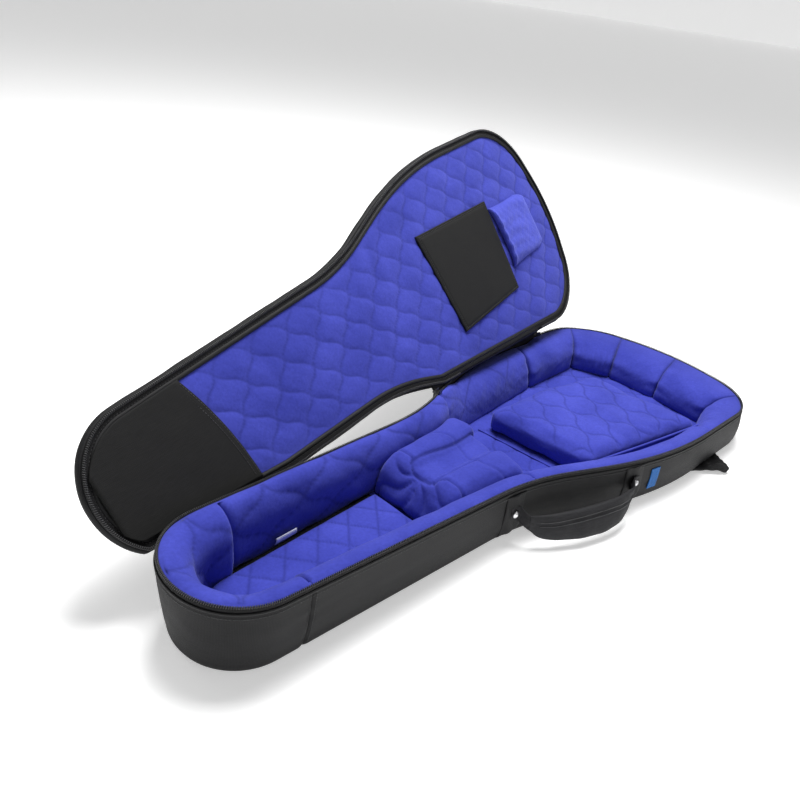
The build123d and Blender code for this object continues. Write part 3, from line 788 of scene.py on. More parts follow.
def neck_pad():
    """Quilted floor pad under the neck, with a dark gap beside the far wall."""
    x0, x1 = -489 * MM, -198.5 * MM
    x, u = np.meshgrid(edge_spaced(x0, x1, 150), edge_spaced(0, 1, 70), indexing="ij")
    head_round = np.sqrt(np.clip(1 - ((x0 + 40 * MM - x) / (40 * MM)).clip(0, 1) ** 2, 0, 1))
    near = between(0, NEAR_Y(x) + NEAR_DEPTH + 3.5 * MM, 0.25 + 0.75 * head_round)
    far = between(0, FAR_Y(x) - FAR_DEPTH - 10 * MM, 0.25 + 0.75 * head_round)
    y = between(near, far, u)
    puff, seam = diamonds(x, y, 0.050, 0.058)
    edge = np.minimum(np.minimum(u, 1 - u) * (far - near), np.minimum(x - x0, x1 - x))
    side = np.clip(edge / (9 * MM), 0, 1)
    z = FLOOR + 3 * MM + 10 * MM * np.sqrt(1 - (1 - side) ** 2) + (puff - 1) * 2.4 * MM * side
    low = np.dstack([x, y, np.full_like(z, FLOOR + 0.6 * MM)])
    obj = dress(closed_plate("neck_floor_quilt", low, np.dstack([x, y, z]), seam * side), BLUE, "tray")
    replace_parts(soften(obj), "neck_floor_pad")
    x, v = np.meshgrid(np.linspace(x0 + 14 * MM, x1, 60), np.linspace(0, 1, 5), indexing="ij")
    y = FAR_Y(x) - FAR_DEPTH - between(13 * MM, -3 * MM, v)
    low = np.dstack([x, y, np.full_like(x, FLOOR - 0.5 * MM)])
    dress(closed_plate("neck_gap_tape", low, low + (0, 0, 1.3 * MM)), BINDING, "tray")


def inflate(obj, voxel, cap):
    """Remesh a pad, blow it up a little as cloth, and keep the result."""
    remesh = obj.modifiers.new("Remesh", "REMESH")
    remesh.mode = "VOXEL"
    remesh.voxel_size = voxel
    apply_modifiers(obj)
    before = coords(obj)
    cloth = obj.modifiers.new("Cloth", "CLOTH")
    cloth.settings.use_pressure = True
    cloth.settings.uniform_pressure_force = 4.0
    cloth.settings.effector_weights.gravity = 0
    for step in range(1, 21):
        bpy.context.scene.frame_set(step)
    apply_modifiers(obj)
    move = coords(obj) - before
    size = np.linalg.norm(move, axis=1)
    move *= (np.minimum(size, cap) / np.maximum(size, 1e-9))[:, None]
    set_coords(obj, before + move)
    bpy.context.scene.frame_set(1)
    return obj


def apply_modifiers(obj):
    graph = bpy.context.evaluated_depsgraph_get()
    mesh = bpy.data.meshes.new_from_object(obj.evaluated_get(graph), depsgraph=graph)
    old = obj.data
    obj.modifiers.clear()
    obj.data = mesh
    mesh.name = obj.name
    bpy.data.meshes.remove(old)
    mesh.polygons.foreach_set("use_smooth", [True] * len(mesh.polygons))


def coords(obj):
    co = np.zeros(len(obj.data.vertices) * 3, np.float32)
    obj.data.vertices.foreach_get("co", co)
    return co.reshape(-1, 3).astype(float)


def set_coords(obj, co):
    obj.data.vertices.foreach_set("co", np.asarray(co, np.float32).ravel())
    obj.data.update()


def normals(obj):
    no = np.zeros(len(obj.data.vertices) * 3, np.float32)
    obj.data.vertices.foreach_get("normal", no)
    return no.reshape(-1, 3).astype(float)


def subdivide(obj):
    sub = obj.modifiers.new("Subdivision", "SUBSURF")
    sub.levels = sub.render_levels = 1
    apply_modifiers(obj)


def block_shape(name):
    """Plain rounded block that the body of the guitar rests on, before it is puffed up."""
    places = ((73, 1, 70), (225, 1, 101), (352, 1, 134), (364, -1, 42), (85, -1, 64))
    corners = [from_side(x * MM, side, depth * MM) for x, side, depth in places]
    work = bmesh.new()
    low = [work.verts.new((*c, FLOOR + 1 * MM)) for c in corners]
    high = [work.verts.new((*c, 46 * MM)) for c in corners]
    work.faces.new(low)
    work.faces.new(high)
    for k in range(5):
        work.faces.new((low[k], low[(k + 1) % 5], high[(k + 1) % 5], high[k]))
    upright = [e for e in work.edges if abs(e.verts[0].co.z - e.verts[1].co.z) > 10 * MM]
    bmesh.ops.bevel(work, geom=upright, offset=18 * MM, segments=6, affect="EDGES", profile=0.5)
    top = [e for e in work.edges if all(v.co.z > 42 * MM for v in e.verts)]
    bmesh.ops.bevel(work, geom=top, offset=11 * MM, segments=5, affect="EDGES", profile=0.5)
    bmesh.ops.recalc_face_normals(work, faces=work.faces)
    mesh = bpy.data.meshes.new(name)
    work.to_mesh(mesh)
    work.free()
    return link(bpy.data.objects.new(name, mesh))


def body_block():
    obj = inflate(block_shape("body_block_cushion"), 5 * MM, 6 * MM)
    subdivide(obj)
    co, no = coords(obj), normals(obj)
    top = np.clip((no[:, 2] - 0.5) * 2.5, 0, 1)
    puff, seam = diamonds(co[:, 0] - 0.15 * co[:, 1], co[:, 1], 0.062, 0.092, 0.07)
    co += no * ((puff - 0.9) * 2.2 * MM * top + ripple(co, 0.08, 31) * 0.7 * MM)[:, None]
    co[:, 2] = np.maximum(co[:, 2], FLOOR + 0.5 * MM)
    set_coords(obj, co)
    # The quilting seam weight paints shade into the grooves on the upper faces.
    set_seam_shade(obj, seam * top)
    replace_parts(soften(dress(obj, BLUE, "tray")), "body_block")
    welt()


def welt():
    """Thin welt on the floor along the block's front and a doubled one along its near upper edge."""
    start, end = from_side(66 * MM, 1, 66 * MM), from_side(79 * MM, -1, 58 * MM)
    route = [(*between(start, end, t), 10.5 * MM) for t in (0, 0.5, 1)]
    tube("front_welt", route, 1.1 * MM)
    a, b = from_side(98 * MM, -1, 62 * MM), from_side(356 * MM, -1, 40 * MM)
    for k, (out, z) in enumerate(((0, 43 * MM), (5 * MM, 38 * MM))):
        ends = [np.array([*p, z]) - (0, out, 0) for p in (a, b)]
        middle = between(*ends, 0.5) - (0, 4 * MM, -1 * MM)
        tube(f"side_welt_{k}", [ends[0], middle, ends[1]], 1.8 * MM)


def tube(name, route, radius):
    """Round plush bead along a smooth route."""
    curve = bpy.data.curves.new(name, "CURVE")
    curve.dimensions = "3D"
    curve.bevel_depth = radius
    curve.bevel_resolution = 3
    curve.use_fill_caps = True
    spline = curve.splines.new("NURBS")
    spline.points.add(len(route) - 1)
    for point, spot in zip(spline.points, route):
        point.co = (*spot, 1)
    spline.order_u = 3
    spline.use_endpoint_u = True
    spline.resolution_u = 24
    shape = link(bpy.data.objects.new(name, curve))
    graph = bpy.context.evaluated_depsgraph_get()
    mesh = bpy.data.meshes.new_from_object(shape.evaluated_get(graph), depsgraph=graph)
    bpy.data.objects.remove(shape)
    dress(link(bpy.data.objects.new(name, mesh)), BLUE, "tray")


CRADLE_X0, CRADLE_X1, CRADLE_TOP = -197 * MM, -24 * MM, 76 * MM
GROOVE_NEAR, GROOVE_FAR, GROOVE_DEEP = -18 * MM, 27 * MM, 12 * MM


def groove_share(y):
    """1 inside the cradle's groove and 0 on its lobes."""
    return 1 / (1 + np.exp(-(y - GROOVE_NEAR) / (3 * MM))) / (1 + np.exp((y - GROOVE_FAR) / (3 * MM)))


def cradle_plan(a, b):
    """Plan point of the cradle for a along and b across it, both from 0 to 1."""
    x = between(CRADLE_X0, CRADLE_X1, a)
    y = between(NEAR_Y(x) + NEAR_DEPTH + 3.5 * MM, FAR_Y(x) - FAR_DEPTH - 4 * MM, b)
    dent = sum(np.exp(-(((y - edge) / (7 * MM)) ** 2)) for edge in (GROOVE_NEAR, GROOVE_FAR))
    body_end = np.minimum(CRADLE_X1 + 0.18 * y, WING_X - 3 * MM) - 8 * MM * dent
    return between(CRADLE_X0, body_end, a), y


def cradle_top(x, y, near, far, body_end):
    """Height of the saddle: two lobes beside a groove, with a steep head face."""
    groove = groove_share(y)
    top = CRADLE_TOP - GROOVE_DEEP * groove
    head = shoulder(x - CRADLE_X0, between(36 * MM, 24 * MM, groove))
    body = shoulder(body_end - x, 24 * MM)
    edge = shoulder(np.minimum(y - near, far - y), 15 * MM)
    low = FLOOR + 8 * MM
    return low + (top - low) * head * body * (0.72 + 0.28 * edge)


def neck_cradle():
    a, b = np.meshgrid(edge_spaced(0, 1, 90), edge_spaced(0, 1, 80), indexing="ij")
    x, y = cradle_plan(a, b)
    z = cradle_top(x, y, y[:, :1], y[:, -1:], x[-1:])
    high = np.dstack([x, y, z])
    low = np.dstack([x, y, np.full_like(z, FLOOR + 1 * MM)])
    obj = inflate(closed_plate("neck_cradle_cushion", low, high), 5 * MM, 5 * MM)
    subdivide(obj)
    co, no = coords(obj), normals(obj)
    seam = cradle_seams(co)
    tuft = tufts(co)
    co -= no * (seam * 3.0 * MM)[:, None]
    co += no * (tuft + ripple(co, 0.07, 33) * 0.8 * MM)[:, None]
    co[:, 2] = np.maximum(co[:, 2], FLOOR + 0.5 * MM)
    set_coords(obj, co)
    # The seam lines that dent the cradle also paint shade into those dents.
    set_seam_shade(obj, np.clip(seam, 0, 1))
    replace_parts(soften(dress(obj, BLUE, "tray")), "neck_cradle")


def cradle_seams(co):
    """Sewn lines of the cradle: one along each side of the groove and one round the top of the head face."""
    x, y, z = co.T
    width = 1.8 * MM
    brow = CRADLE_X0 + between(35 * MM, 22 * MM, groove_share(y))
    bend = 2.5 * MM * np.sin((x - CRADLE_X0) / (24 * MM))
    lines = 0
    for edge in (GROOVE_NEAR, GROOVE_FAR):
        lines = lines + np.exp(-(((y - edge - bend) / width) ** 2)) * (x > brow - 4 * MM)
    lines = lines + np.exp(-(((x - brow) / width) ** 2))
    across = CRADLE_X0 + 108 * MM + 8 * MM * np.sin(y / (17 * MM))
    lines = lines + 0.5 * np.exp(-(((x - across) / width) ** 2))
    return np.clip(lines, 0, 1) * (z > FLOOR + 12 * MM)


def tufts(co):
    """Creases that fan out over the head face from the middle of its brow."""
    x, y, z = co.T
    rel = np.c_[y - 8 * MM, z - CRADLE_TOP + 12 * MM]
    far = np.linalg.norm(rel, axis=1)
    angle = np.arctan2(rel[:, 0], -rel[:, 1])
    folds = np.abs(np.sin(angle * 4 + 0.8 * np.sin(far / (11 * MM)))) ** 0.5 - 0.8
    face = 1 / (1 + np.exp((x - CRADLE_X0 - 26 * MM) / (4 * MM)))
    button = 3 * MM * face * np.exp(-((far / (9 * MM)) ** 2))
    return folds * face * np.clip(far / (9 * MM), 0, 1) * 3.4 * MM - button


# ---------------------------------------------------------------- lid
def open_matrix():
    pos = Vector(HINGE["pos_m"])
    turn = Matrix.Rotation(-OPEN_ANGLE, 4, Vector(HINGE["axis"]))
    return Matrix.Translation(pos) @ turn @ Matrix.Translation(-pos)


def on_lid(obj, mat):
    obj.data.transform(open_matrix())
    return dress(obj, mat, "lid")


def lid_grid(x0, x1, inset, nx, ny):
    """Plan grid over the stretch of the lid between x0 and x1, kept inset from its outline."""
    x, u = np.meshgrid(edge_spaced(x0, x1, nx), edge_spaced(0, 1, ny), indexing="ij")
    near, far = LID_NEAR_Y(x) + inset, LID_FAR_Y(x) - inset
    return x, between(near, np.maximum(far, near + 1 * MM), u), u


def lid_shell():
    """Rounded outside wall of the lid and its domed panel."""
    st = all_round(LID_RING, 3 * MM)
    turn = np.linspace(0, math.pi / 2, 9)
    wall = np.linspace(0, 1, 8)[:-1]
    out = np.r_[2.8 * MM * np.sin(math.pi * wall), -9 * MM * (1 - np.cos(turn))]
    z = np.r_[between(7.5 * MM, 19 * MM, wall), 19 * MM + 9 * MM * np.sin(turn)]
    out = np.r_[out, -13 * MM, -13 * MM, -3 * MM, -3 * MM]
    z = np.r_[z, 28.5 * MM, 24 * MM, 19 * MM, 7.5 * MM]
    grid = section(st, out[None], st["rim"][:, None] + z[None])
    fold = grid_ripple(grid, 0.14, 41) * 0.8 * MM
    fold[:, -4:] = 0
    grid[..., :2] += st["out"][:, None] * fold[..., None]
    wall_cloth = on_lid(skin("lid_wall_cloth", grid, around=True, along=True), NYLON)
    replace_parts(wall_cloth, "lid_wall")
    x, y, u = lid_grid(HEAD_X + 11 * MM, TAIL_X - 11 * MM, 10.5 * MM, 260, 90)
    edge = np.minimum(u, 1 - u) * (LID_FAR_Y(x) - LID_NEAR_Y(x))
    dome = 2.5 * MM * (1 - np.exp(-edge / (40 * MM)))
    z = rim_z(x) + 27.6 * MM + dome + plan_ripple(x, y, 0.2, 42) * 1.0 * MM
    low = np.dstack([x, y, rim_z(x) + 24 * MM])
    panel = on_lid(closed_plate("lid_panel_cloth", low, np.dstack([x, y, z])), NYLON)
    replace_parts(panel, "lid_panel", "lid_foam")


def lid_zipper():
    free = ((HINGE_X0, 1), (HINGE_X1, 1))
    st = stations(LID_RING, *free, 4 * MM)
    tape = on_lid(skin("lid_tape", bar(st, -3.0 * MM, -0.9 * MM, 3.2 * MM, 9 * MM), around=True), TAPE)
    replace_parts(tape, "lid_zipper_tape")
    coil = on_lid(teeth("lid_coil", LID_RING, *free, -2.0 * MM, 2.8 * MM), COIL)
    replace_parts(coil, "lid_zipper_coil")


def lid_binding():
    """Black border inside the lid: a flat outer band, a fold line and a rolled inner edge."""
    st = all_round(LID_RING, 4 * MM)
    flat = bar(st, -8.6 * MM, -2.6 * MM, 5.6 * MM, 8.6 * MM)
    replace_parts(on_lid(skin("binding_band", flat, around=True, along=True), TAPE), "lid_binding")
    roll = bead(st, -11.2 * MM, 6.6 * MM, 3.4 * MM, 0.75)
    on_lid(skin("binding_roll", roll, around=True, along=True), BINDING)
    path = np.c_[st["p"] - st["out"] * 7.6 * MM, st["rim"] + 5.5 * MM]
    swing_stitches("binding_stitches", path[::-1])


def swing_stitches(name, path):
    """Stitches on the lid's inner face, from a path in its closed place."""
    turned = open_matrix()
    down = (turned.to_3x3() @ Vector((0, 0, -1))).normalized()
    path = np.array([turned @ Vector(p) for p in path])
    stitches(name, path, np.tile(np.array(down), (len(path), 1)), "lid")


def lid_lining():
    """Quilted plush lining, fullest between its seams."""
    x, y, u = lid_grid(HEAD_X + 13 * MM, TAIL_X - 13 * MM, 12 * MM, 420, 170)
    puff, seam = diamonds(x - 0.18 * y, y, 0.066, 0.058, 0.045)
    edge = np.minimum(u, 1 - u) * (LID_FAR_Y(x) - LID_NEAR_Y(x))
    edge = np.minimum(edge, np.minimum(x - x.min(), x.max() - x))
    full = 1 - np.exp(-edge / (14 * MM))
    wrinkle = plan_ripple(x, y, 0.09, 43, 4) * 0.8 * MM
    z = rim_z(x) + LID_LINING - (0.5 * MM + (puff * 2.6 * MM + wrinkle) * full)
    high = np.dstack([x, y, rim_z(x) + LID_LINING + 4 * MM])
    low = np.dstack([x, y, z])
    obj = closed_plate("lid_lining_quilt", high, low, seam * full)
    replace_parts(soften(on_lid(obj, BLUE)), "lid_lining")


def head_edge_x(y):
    """Edge of the black headstock panel, bowed a little towards the head."""
    return between(-389 * MM, -352 * MM, (y + 80 * MM) / (160 * MM)) + 9 * MM * (1 - (y / (80 * MM)) ** 2)


def headstock_panel():
    t = np.linspace(0, 1, 90)
    u = np.linspace(0, 1, 70)
    t, u = np.meshgrid(t, u, indexing="ij")
    x = between(HEAD_X + 14 * MM, -370 * MM, t)
    for _ in range(6):
        y = between(LID_NEAR_Y(x) + 12 * MM, np.maximum(LID_FAR_Y(x) - 12 * MM, LID_NEAR_Y(x) + 14 * MM), u)
        x = between(HEAD_X + 14 * MM, head_edge_x(y), t**0.8)
    edge = (head_edge_x(y) - x) / (9 * MM)
    z = rim_z(x) + LID_LINING - 6.2 * MM + 1.6 * MM * np.exp(-((edge * 2.2) ** 2))
    z += plan_ripple(x, y, 0.12, 44) * 0.5 * MM
    high = np.dstack([x, y, rim_z(x) + LID_LINING - 0.5 * MM])
    panel = closed_plate("headstock_panel_cloth", high, np.dstack([x, y, z]))
    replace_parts(on_lid(panel, PATCH), "headstock_panel")
    for k, back in enumerate((3 * MM, 9 * MM)):
        row = np.linspace(0.04, 0.96, 60)
        x_row = np.full(60, -372 * MM)
        for _ in range(4):
            y_row = between(LID_NEAR_Y(x_row) + 13 * MM, LID_FAR_Y(x_row) - 13 * MM, row)
            x_row = head_edge_x(y_row) - back
        swing_stitches(f"headstock_stitches_{k}", np.c_[x_row, y_row, rim_z(x_row) + LID_LINING - 5.9 * MM])


PATCH_CORNERS = [(112, -79), (335, -73), (319, 92), (124, 95)]


def bridge_patch():
    """Flat wear patch over the strings, sewn down all round."""
    corners = np.array(PATCH_CORNERS, float) * MM
    a, b = np.meshgrid(edge_spaced(0, 1, 60), edge_spaced(0, 1, 50), indexing="ij")
    plan = patch_point(corners, a, b)
    x, y = plan[..., 0], plan[..., 1]
    edge = np.minimum(np.minimum(a, 1 - a) * 210 * MM, np.minimum(b, 1 - b) * 170 * MM)
    hem = 1.3 * MM * np.exp(-(((edge - 4 * MM) / (2 * MM)) ** 2))
    lift = 6.4 * MM + 0.8 * MM * (1 - np.exp(-edge / (12 * MM))) - hem
    lift = lift - 1.8 * MM * np.exp(-edge / (1.2 * MM))
    lift += plan_ripple(x, y, 0.12, 45) * 0.5 * MM
    low = np.dstack([x, y, rim_z(x) + LID_LINING - lift])
    high = np.dstack([x, y, rim_z(x) + LID_LINING - 1 * MM])
    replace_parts(on_lid(closed_plate("bridge_patch_cloth", high, low), PATCH), "bridge_patch")
    m = 0.022
    ring = [(m, m), (1 - m, m), (1 - m, 1 - m), (m, 1 - m), (m, m)]
    ring = resample(np.array(ring, float), 0.01, closed=False)
    plan = patch_point(corners, ring[:, 0], ring[:, 1])
    swing_stitches("patch_stitches", np.c_[plan, rim_z(plan[:, 0]) + LID_LINING - 6.0 * MM])


def patch_point(corners, a, b):
    a, b = np.asarray(a)[..., None], np.asarray(b)[..., None]
    return between(between(corners[0], corners[1], a), between(corners[3], corners[2], a), b)


POUCH_X0, POUCH_X1, POUCH_HALF = 340 * MM, 464 * MM, 58 * MM


def pouch():
    """Gathered plush pouch, standing up at its mouth and sewn down round its other edges."""
    a, b = np.meshgrid(np.linspace(0, 1, 90), np.linspace(-1, 1, 90), indexing="ij")
    corner = np.clip((a - 0.72) / 0.28, 0, 1)
    half = POUCH_HALF * (1 - 0.22 * corner**2.2)
    x = between(POUCH_X0, POUCH_X1, a) - 5 * MM * (1 - a) * b**2
    y = half * b * (1 - 0.05 * np.sin(math.pi * a))
    edge = np.minimum((1 - np.abs(b)) * POUCH_HALF, (1 - a) * (POUCH_X1 - POUCH_X0))
    full = shoulder(edge, 22 * MM)
    gather = np.cos(b * math.pi * 5.5 + 0.6 * np.sin(a * 4)) * np.exp(-a / 0.28) * 0.6 * MM
    puff = 11.5 * MM * full * (1 - 0.25 * a) + gather * full
    puff += plan_ripple(x, y, 0.045, 46, 4) * 1.3 * MM * full
    lip = np.exp(-((a / 0.05) ** 2)) * 2.0 * MM
    base = rim_z(x) + LID_LINING - 2.5 * MM
    low = np.dstack([x, y, base - puff - lip * full])
    high = np.dstack([x, y, base - puff * (0.30 * np.exp(-a / 0.35))])
    # The seam weight paints shade along the pouch's sewn-down edges.
    obj = on_lid(closed_plate("pouch_cushion", high, low, np.exp(-edge / (2.5 * MM)) * 0.8), POUCH_BLUE)
    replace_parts(soften(obj), "pouch_front", "pouch_sides")


POCKET_X0, POCKET_X1, POCKET_INSET = -250 * MM, 440 * MM, 32 * MM


def outer_pocket():
    """Flat pocket on the outside of the lid, with a zipper along its upper edge."""
    x, y, u = lid_grid(POCKET_X0, POCKET_X1, POCKET_INSET, 160, 70)
    edge = np.minimum(u, 1 - u) * (LID_FAR_Y(x) - LID_NEAR_Y(x) - 2 * POCKET_INSET)
    edge = np.minimum(edge, np.minimum(x - POCKET_X0, POCKET_X1 - x))
    swell = 4.2 * MM * shoulder(edge, 10 * MM)
    swell += plan_ripple(x, y, 0.16, 47) * 0.9 * MM
    top = rim_z(x) + LID_SKIN + swell
    low = np.dstack([x, y, rim_z(x) + LID_SKIN - 3 * MM])
    obj = on_lid(closed_plate("lid_pocket_cloth", low, np.dstack([x, y, top])), NYLON)
    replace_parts(obj, "lid_pocket")
    x = np.linspace(POCKET_X0 + 12 * MM, POCKET_X1 - 12 * MM, 200)
    y = LID_NEAR_Y(x) + POCKET_INSET + 9 * MM
    line = {"p": np.c_[x, y], "out": np.tile([0.0, -1.0], (200, 1)), "s": x, "rim": rim_z(x)}
    strip = bar(line, -4 * MM, 4 * MM, LID_SKIN + 2 * MM, LID_SKIN + 5.3 * MM, 0.8 * MM)
    tape = on_lid(skin("pocket_zip_tape", strip, around=True), TAPE)
    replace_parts(tape, "pocket_zipper")
    row = bead(line, 0.0, LID_SKIN + 6.0 * MM, 1.4 * MM, 0.6)
    on_lid(skin("pocket_zip_coil", row, around=True), COIL)


def hinge_strip():
    """Fabric hinge: joins the top of the far wall to the edge of the lid and bends between them."""
    x = np.linspace(HINGE_X0 - 70 * MM, HINGE_X1 + 12 * MM, 110)
    foot = np.c_[x, FAR_Y(x) - 2 * MM, rim_z(x) - 9 * MM]
    turned = open_matrix()
    head = np.c_[x, LID_FAR_Y(x) - 3 * MM, rim_z(x) + 8 * MM]
    head = np.array([turned @ Vector(p) for p in head])
    t = np.linspace(0, 1, 14)
    bow = np.sin(math.pi * t)[None, :, None] * np.array([0, 4 * MM, 4 * MM])
    cloth = foot[:, None] * (1 - t)[None, :, None] + head[:, None] * t[None, :, None] + bow
    cloth[..., 1] += grid_ripple(cloth, 0.05, 51) * 0.6 * MM
    across = np.array([0.0, 0.9, -0.42]) * 1.2 * MM
    obj = dress(two_faced("hinge_strip", cloth + across, cloth - across), TAPE)
    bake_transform(obj)
    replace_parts(obj, "hinge_tape")


# ---------------------------------------------------------------- handle
def handle_frame():
    """Where the handle starts, the direction along it and the direction away from the wall."""
    joint = {j["name"]: j for j in frame["joints"]}["handle_swing"]
    along = -np.array(joint["axis"])
    return np.array(joint["pos_m"]), along, np.array([along[1], -along[0], 0.0])


GRIP_SPAN = 186 * MM
GRIP_AT = (0, 0.05, 0.10, 0.20, 0.40, 0.62, 0.80, 0.92, 1)
GRIP_TOP_OUT = (2, 6, 9, 12, 14, 14, 12, 8, 2)
GRIP_FOOT_OUT = (3, 8, 12, 20, 29, 31, 25, 14, 3)
GRIP_FOOT_Z = (31, 19, 14, 12, 11, 11, 14, 23, 39)
GRIP_THICK = (3, 6, 9, 12, 14, 14, 12, 8, 3)


def handle_band(t):
    """Upper and lower edge of the grip and its thickness, for t from 0 to 1 along it."""
    pos, along, away = handle_frame()
    top_out, foot_out, foot_z, thick = (
        smooth_row(t, row)[:, None] for row in (GRIP_TOP_OUT, GRIP_FOOT_OUT, GRIP_FOOT_Z, GRIP_THICK)
    )
    line = pos + along * (GRIP_SPAN * t)[:, None]
    line[:, 2] = 0
    level = np.array([0, 0, 1.0])
    return line + away * top_out + level * 49 * MM, line + away * foot_out + level * foot_z, thick


def smooth_row(t, row):
    """Row of millimetre values over GRIP_AT, smoothed and in metres."""
    fine = np.linspace(0, 1, 201)
    values = np.convolve(np.pad(np.interp(fine, GRIP_AT, row), 8, "edge"), np.full(17, 1 / 17), "valid")
    return np.interp(t, fine, values) * MM


def handle_grip():
    """Padded band folded round the carry strap: straight along its top and bowed out along its foot."""
    t = np.linspace(0, 1, 120)
    top, foot, thick = handle_band(t)
    half = (top - foot) / 2
    along = handle_frame()[1]
    face = np.cross(half, along)
    face /= np.linalg.norm(face, axis=1)[:, None]
    away = handle_frame()[2]
    face *= np.sign(face @ away)[:, None]
    angle = np.arange(48) * TAU / 48
    flat = np.sign(np.cos(angle)) * np.abs(np.cos(angle)) ** 0.75
    tall = np.sign(np.sin(angle)) * np.abs(np.sin(angle)) ** 0.6
    centre = (top + foot) / 2
    grid = centre[:, None] + face[:, None] * (thick * flat / 2)[..., None]
    grid = grid + half[:, None] * tall[None, :, None]
    fold = grid_ripple(grid, 0.045, 61, 4) * 0.9 * MM
    height = (tall - 1)[None] * np.linalg.norm(half, axis=1)[:, None]
    crease = 1.8 * MM * np.exp(-(((height + 12 * MM) / (1.6 * MM)) ** 2)) * (flat > 0)
    grid += face[:, None] * (fold * np.abs(flat) - crease)[..., None]
    obj = soften(dress(skin("handle_grip_pad", grid, around=True), HANDLE, "handle"))
    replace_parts(obj, "handle_grip", "handle_strap")
    size = np.linalg.norm(half, axis=1)[:, None]
    for name, drop in (("upper", 9 * MM), ("lower", 15 * MM)):
        level = 1 - drop / size
        across = (1 - np.abs(level) ** (1 / 0.6 * 2)).clip(0, 1) ** (0.75 / 2)
        line = centre + half * level + face * (thick / 2 * across + 0.4 * MM)
        stitches(f"grip_stitches_{name}", line[9:-9], face[9:-9], "handle")


def wall_point(x, z, lift):
    y = NEAR_Y(x)
    slope = (NEAR_Y(x + 1 * MM) - NEAR_Y(x - 1 * MM)) / (2 * MM)
    normal = np.array([slope, -1.0]) / math.hypot(slope, 1)
    t = np.clip((rim_z(x) - 7.5 * MM - z) / (rim_z(x) - 21.5 * MM) * 0.8, 0, 1)
    face, _ = wall_face({"p": np.array([[x, y]]), "rim": np.array([rim_z(x)])}, np.array([t]))
    return np.array([x, y, z]) + np.array([*normal, 0]) * (face[0, 0] + lift), np.array([*normal, 0])


RIVET_X = {"head": -109 * MM, "end": 96 * MM}
RIVET_Z = 46 * MM


def handle_tabs():
    """Folded loops of cloth sewn into the rim seam and the foot of the wall, which hold the handle's ends."""
    for end, x in RIVET_X.items():
        rows = []
        for z in np.linspace(76 * MM, 8 * MM, 30):
            row = []
            for w in np.linspace(-1, 1, 15):
                sway = 2 * MM * math.sin(z / (14 * MM))
                z_here = min(z, rim_z(x) - 8.5 * MM)
                puff = 2.0 * MM * (1 - w**4) + 0.9 * MM * math.sin(5 * w + z / (9 * MM))
                row.append(wall_point(x + w * 17 * MM + sway, z_here, 0.6 * MM + max(puff, 0))[0])
            rows.append(row)
        face = np.array(rows)
        back = face - wall_point(x, RIVET_Z, 0)[1] * 1.8 * MM
        obj = dress(two_faced(f"handle_tab_{end}", face, back), NYLON, "tray")
        if end == "head":
            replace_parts(obj, "handle_tabs", "handle_stubs")


def handle_ends():
    """Webbing from each rivet out to the swinging grip."""
    for end, x in RIVET_X.items():
        way = 1 if end == "head" else -1
        top, foot, _ = handle_band(np.array([0.0, 0.09] if end == "head" else [1.0, 0.91]))
        start = wall_point(x - way * 6 * MM, RIVET_Z, 1.6 * MM)[0]
        second = wall_point(x + way * 5 * MM, RIVET_Z, 4.2 * MM)[0]
        axis, inside = (top + foot) / 2
        route = smooth_route([start, second, axis, inside], 30)
        level = np.array([0, 0, 1.0])
        tall = top - foot
        rise = smooth_route([level * 11 * MM, level * 11 * MM, tall[0] / 2, tall[1] / 2.3], 30)
        forward = np.gradient(route, axis=0)
        side = np.cross(forward, rise)
        side /= np.linalg.norm(side, axis=1)[:, None]
        w = np.linspace(-1, 1, 11)
        face = route[:, None] + rise[:, None] * w[None, :, None]
        face += side[:, None] * (0.7 * MM * np.cos(w * 4))[None, :, None]
        half = side[:, None] * 1.2 * MM
        obj = dress(two_faced(f"handle_end_{end}", face + half, face - half), HANDLE)
        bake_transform(obj)


def smooth_route(points, count):
    """Catmull-Rom curve through a few points."""
    p = np.array([points[0] * 2 - points[1], *points, points[-1] * 2 - points[-2]])
    at = np.linspace(0, len(points) - 1 - 1e-9, count)
    k = at.astype(int)
    t = (at - k)[:, None]
    a, b, c, d = p[k], p[k + 1], p[k + 2], p[k + 3]
    return 0.5 * (2 * b + (c - a) * t + (2 * a - 5 * b + 4 * c - d) * t**2 + (3 * b - a - 3 * c + d) * t**3)


def rivets():
    """Domed rivets with a rolled rim, turned about their own axis."""
    dome = [(0, 3.6), (1.6, 3.5), (3.0, 2.8), (3.9, 1.8)]
    profile = np.array(dome + [(4.4, 1.7), (5.0, 1.3), (5.2, 0.5), (5.0, -1.5)]) * MM
    for end, x in RIVET_X.items():
        centre, normal = wall_point(x, RIVET_Z, 4.6 * MM)
        side = np.array([-normal[1], normal[0], 0])
        angle = np.arange(32) * TAU / 32
        ring = side * np.cos(angle)[:, None] + np.array([0, 0, 1.0]) * np.sin(angle)[:, None]
        radius = np.maximum(profile[:, 0], 0.05 * MM)[:, None, None]
        grid = centre + ring[None] * radius + normal * profile[:, 1][:, None, None]
        obj = dress(skin(f"rivet_{end}", grid, around=True), NICKEL, "tray")
        if end == "head":
            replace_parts(obj, "handle_rivets")


# ---------------------------------------------------------------- small pieces on the tray
TAG_X = 140 * MM


def side_tag():
    """Plain woven tag sewn into the rim seam, with nothing on it."""
    rows = []
    for z in np.linspace(58 * MM, 24 * MM, 18):
        curl = 1.6 * MM * (1 - (z - 24 * MM) / (34 * MM)) ** 2
        lifts = [(w, 0.8 * MM + curl + 0.3 * MM * w * w) for w in np.linspace(-1, 1, 9)]
        rows.append([wall_point(TAG_X + w * 9 * MM, z, lift)[0] for w, lift in lifts])
    face = np.array(rows)
    back = face - wall_point(TAG_X, 40 * MM, 0)[1] * 0.9 * MM
    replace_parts(dress(two_faced("side_tag_cloth", face, back), TAG, "tray"), "side_tag")


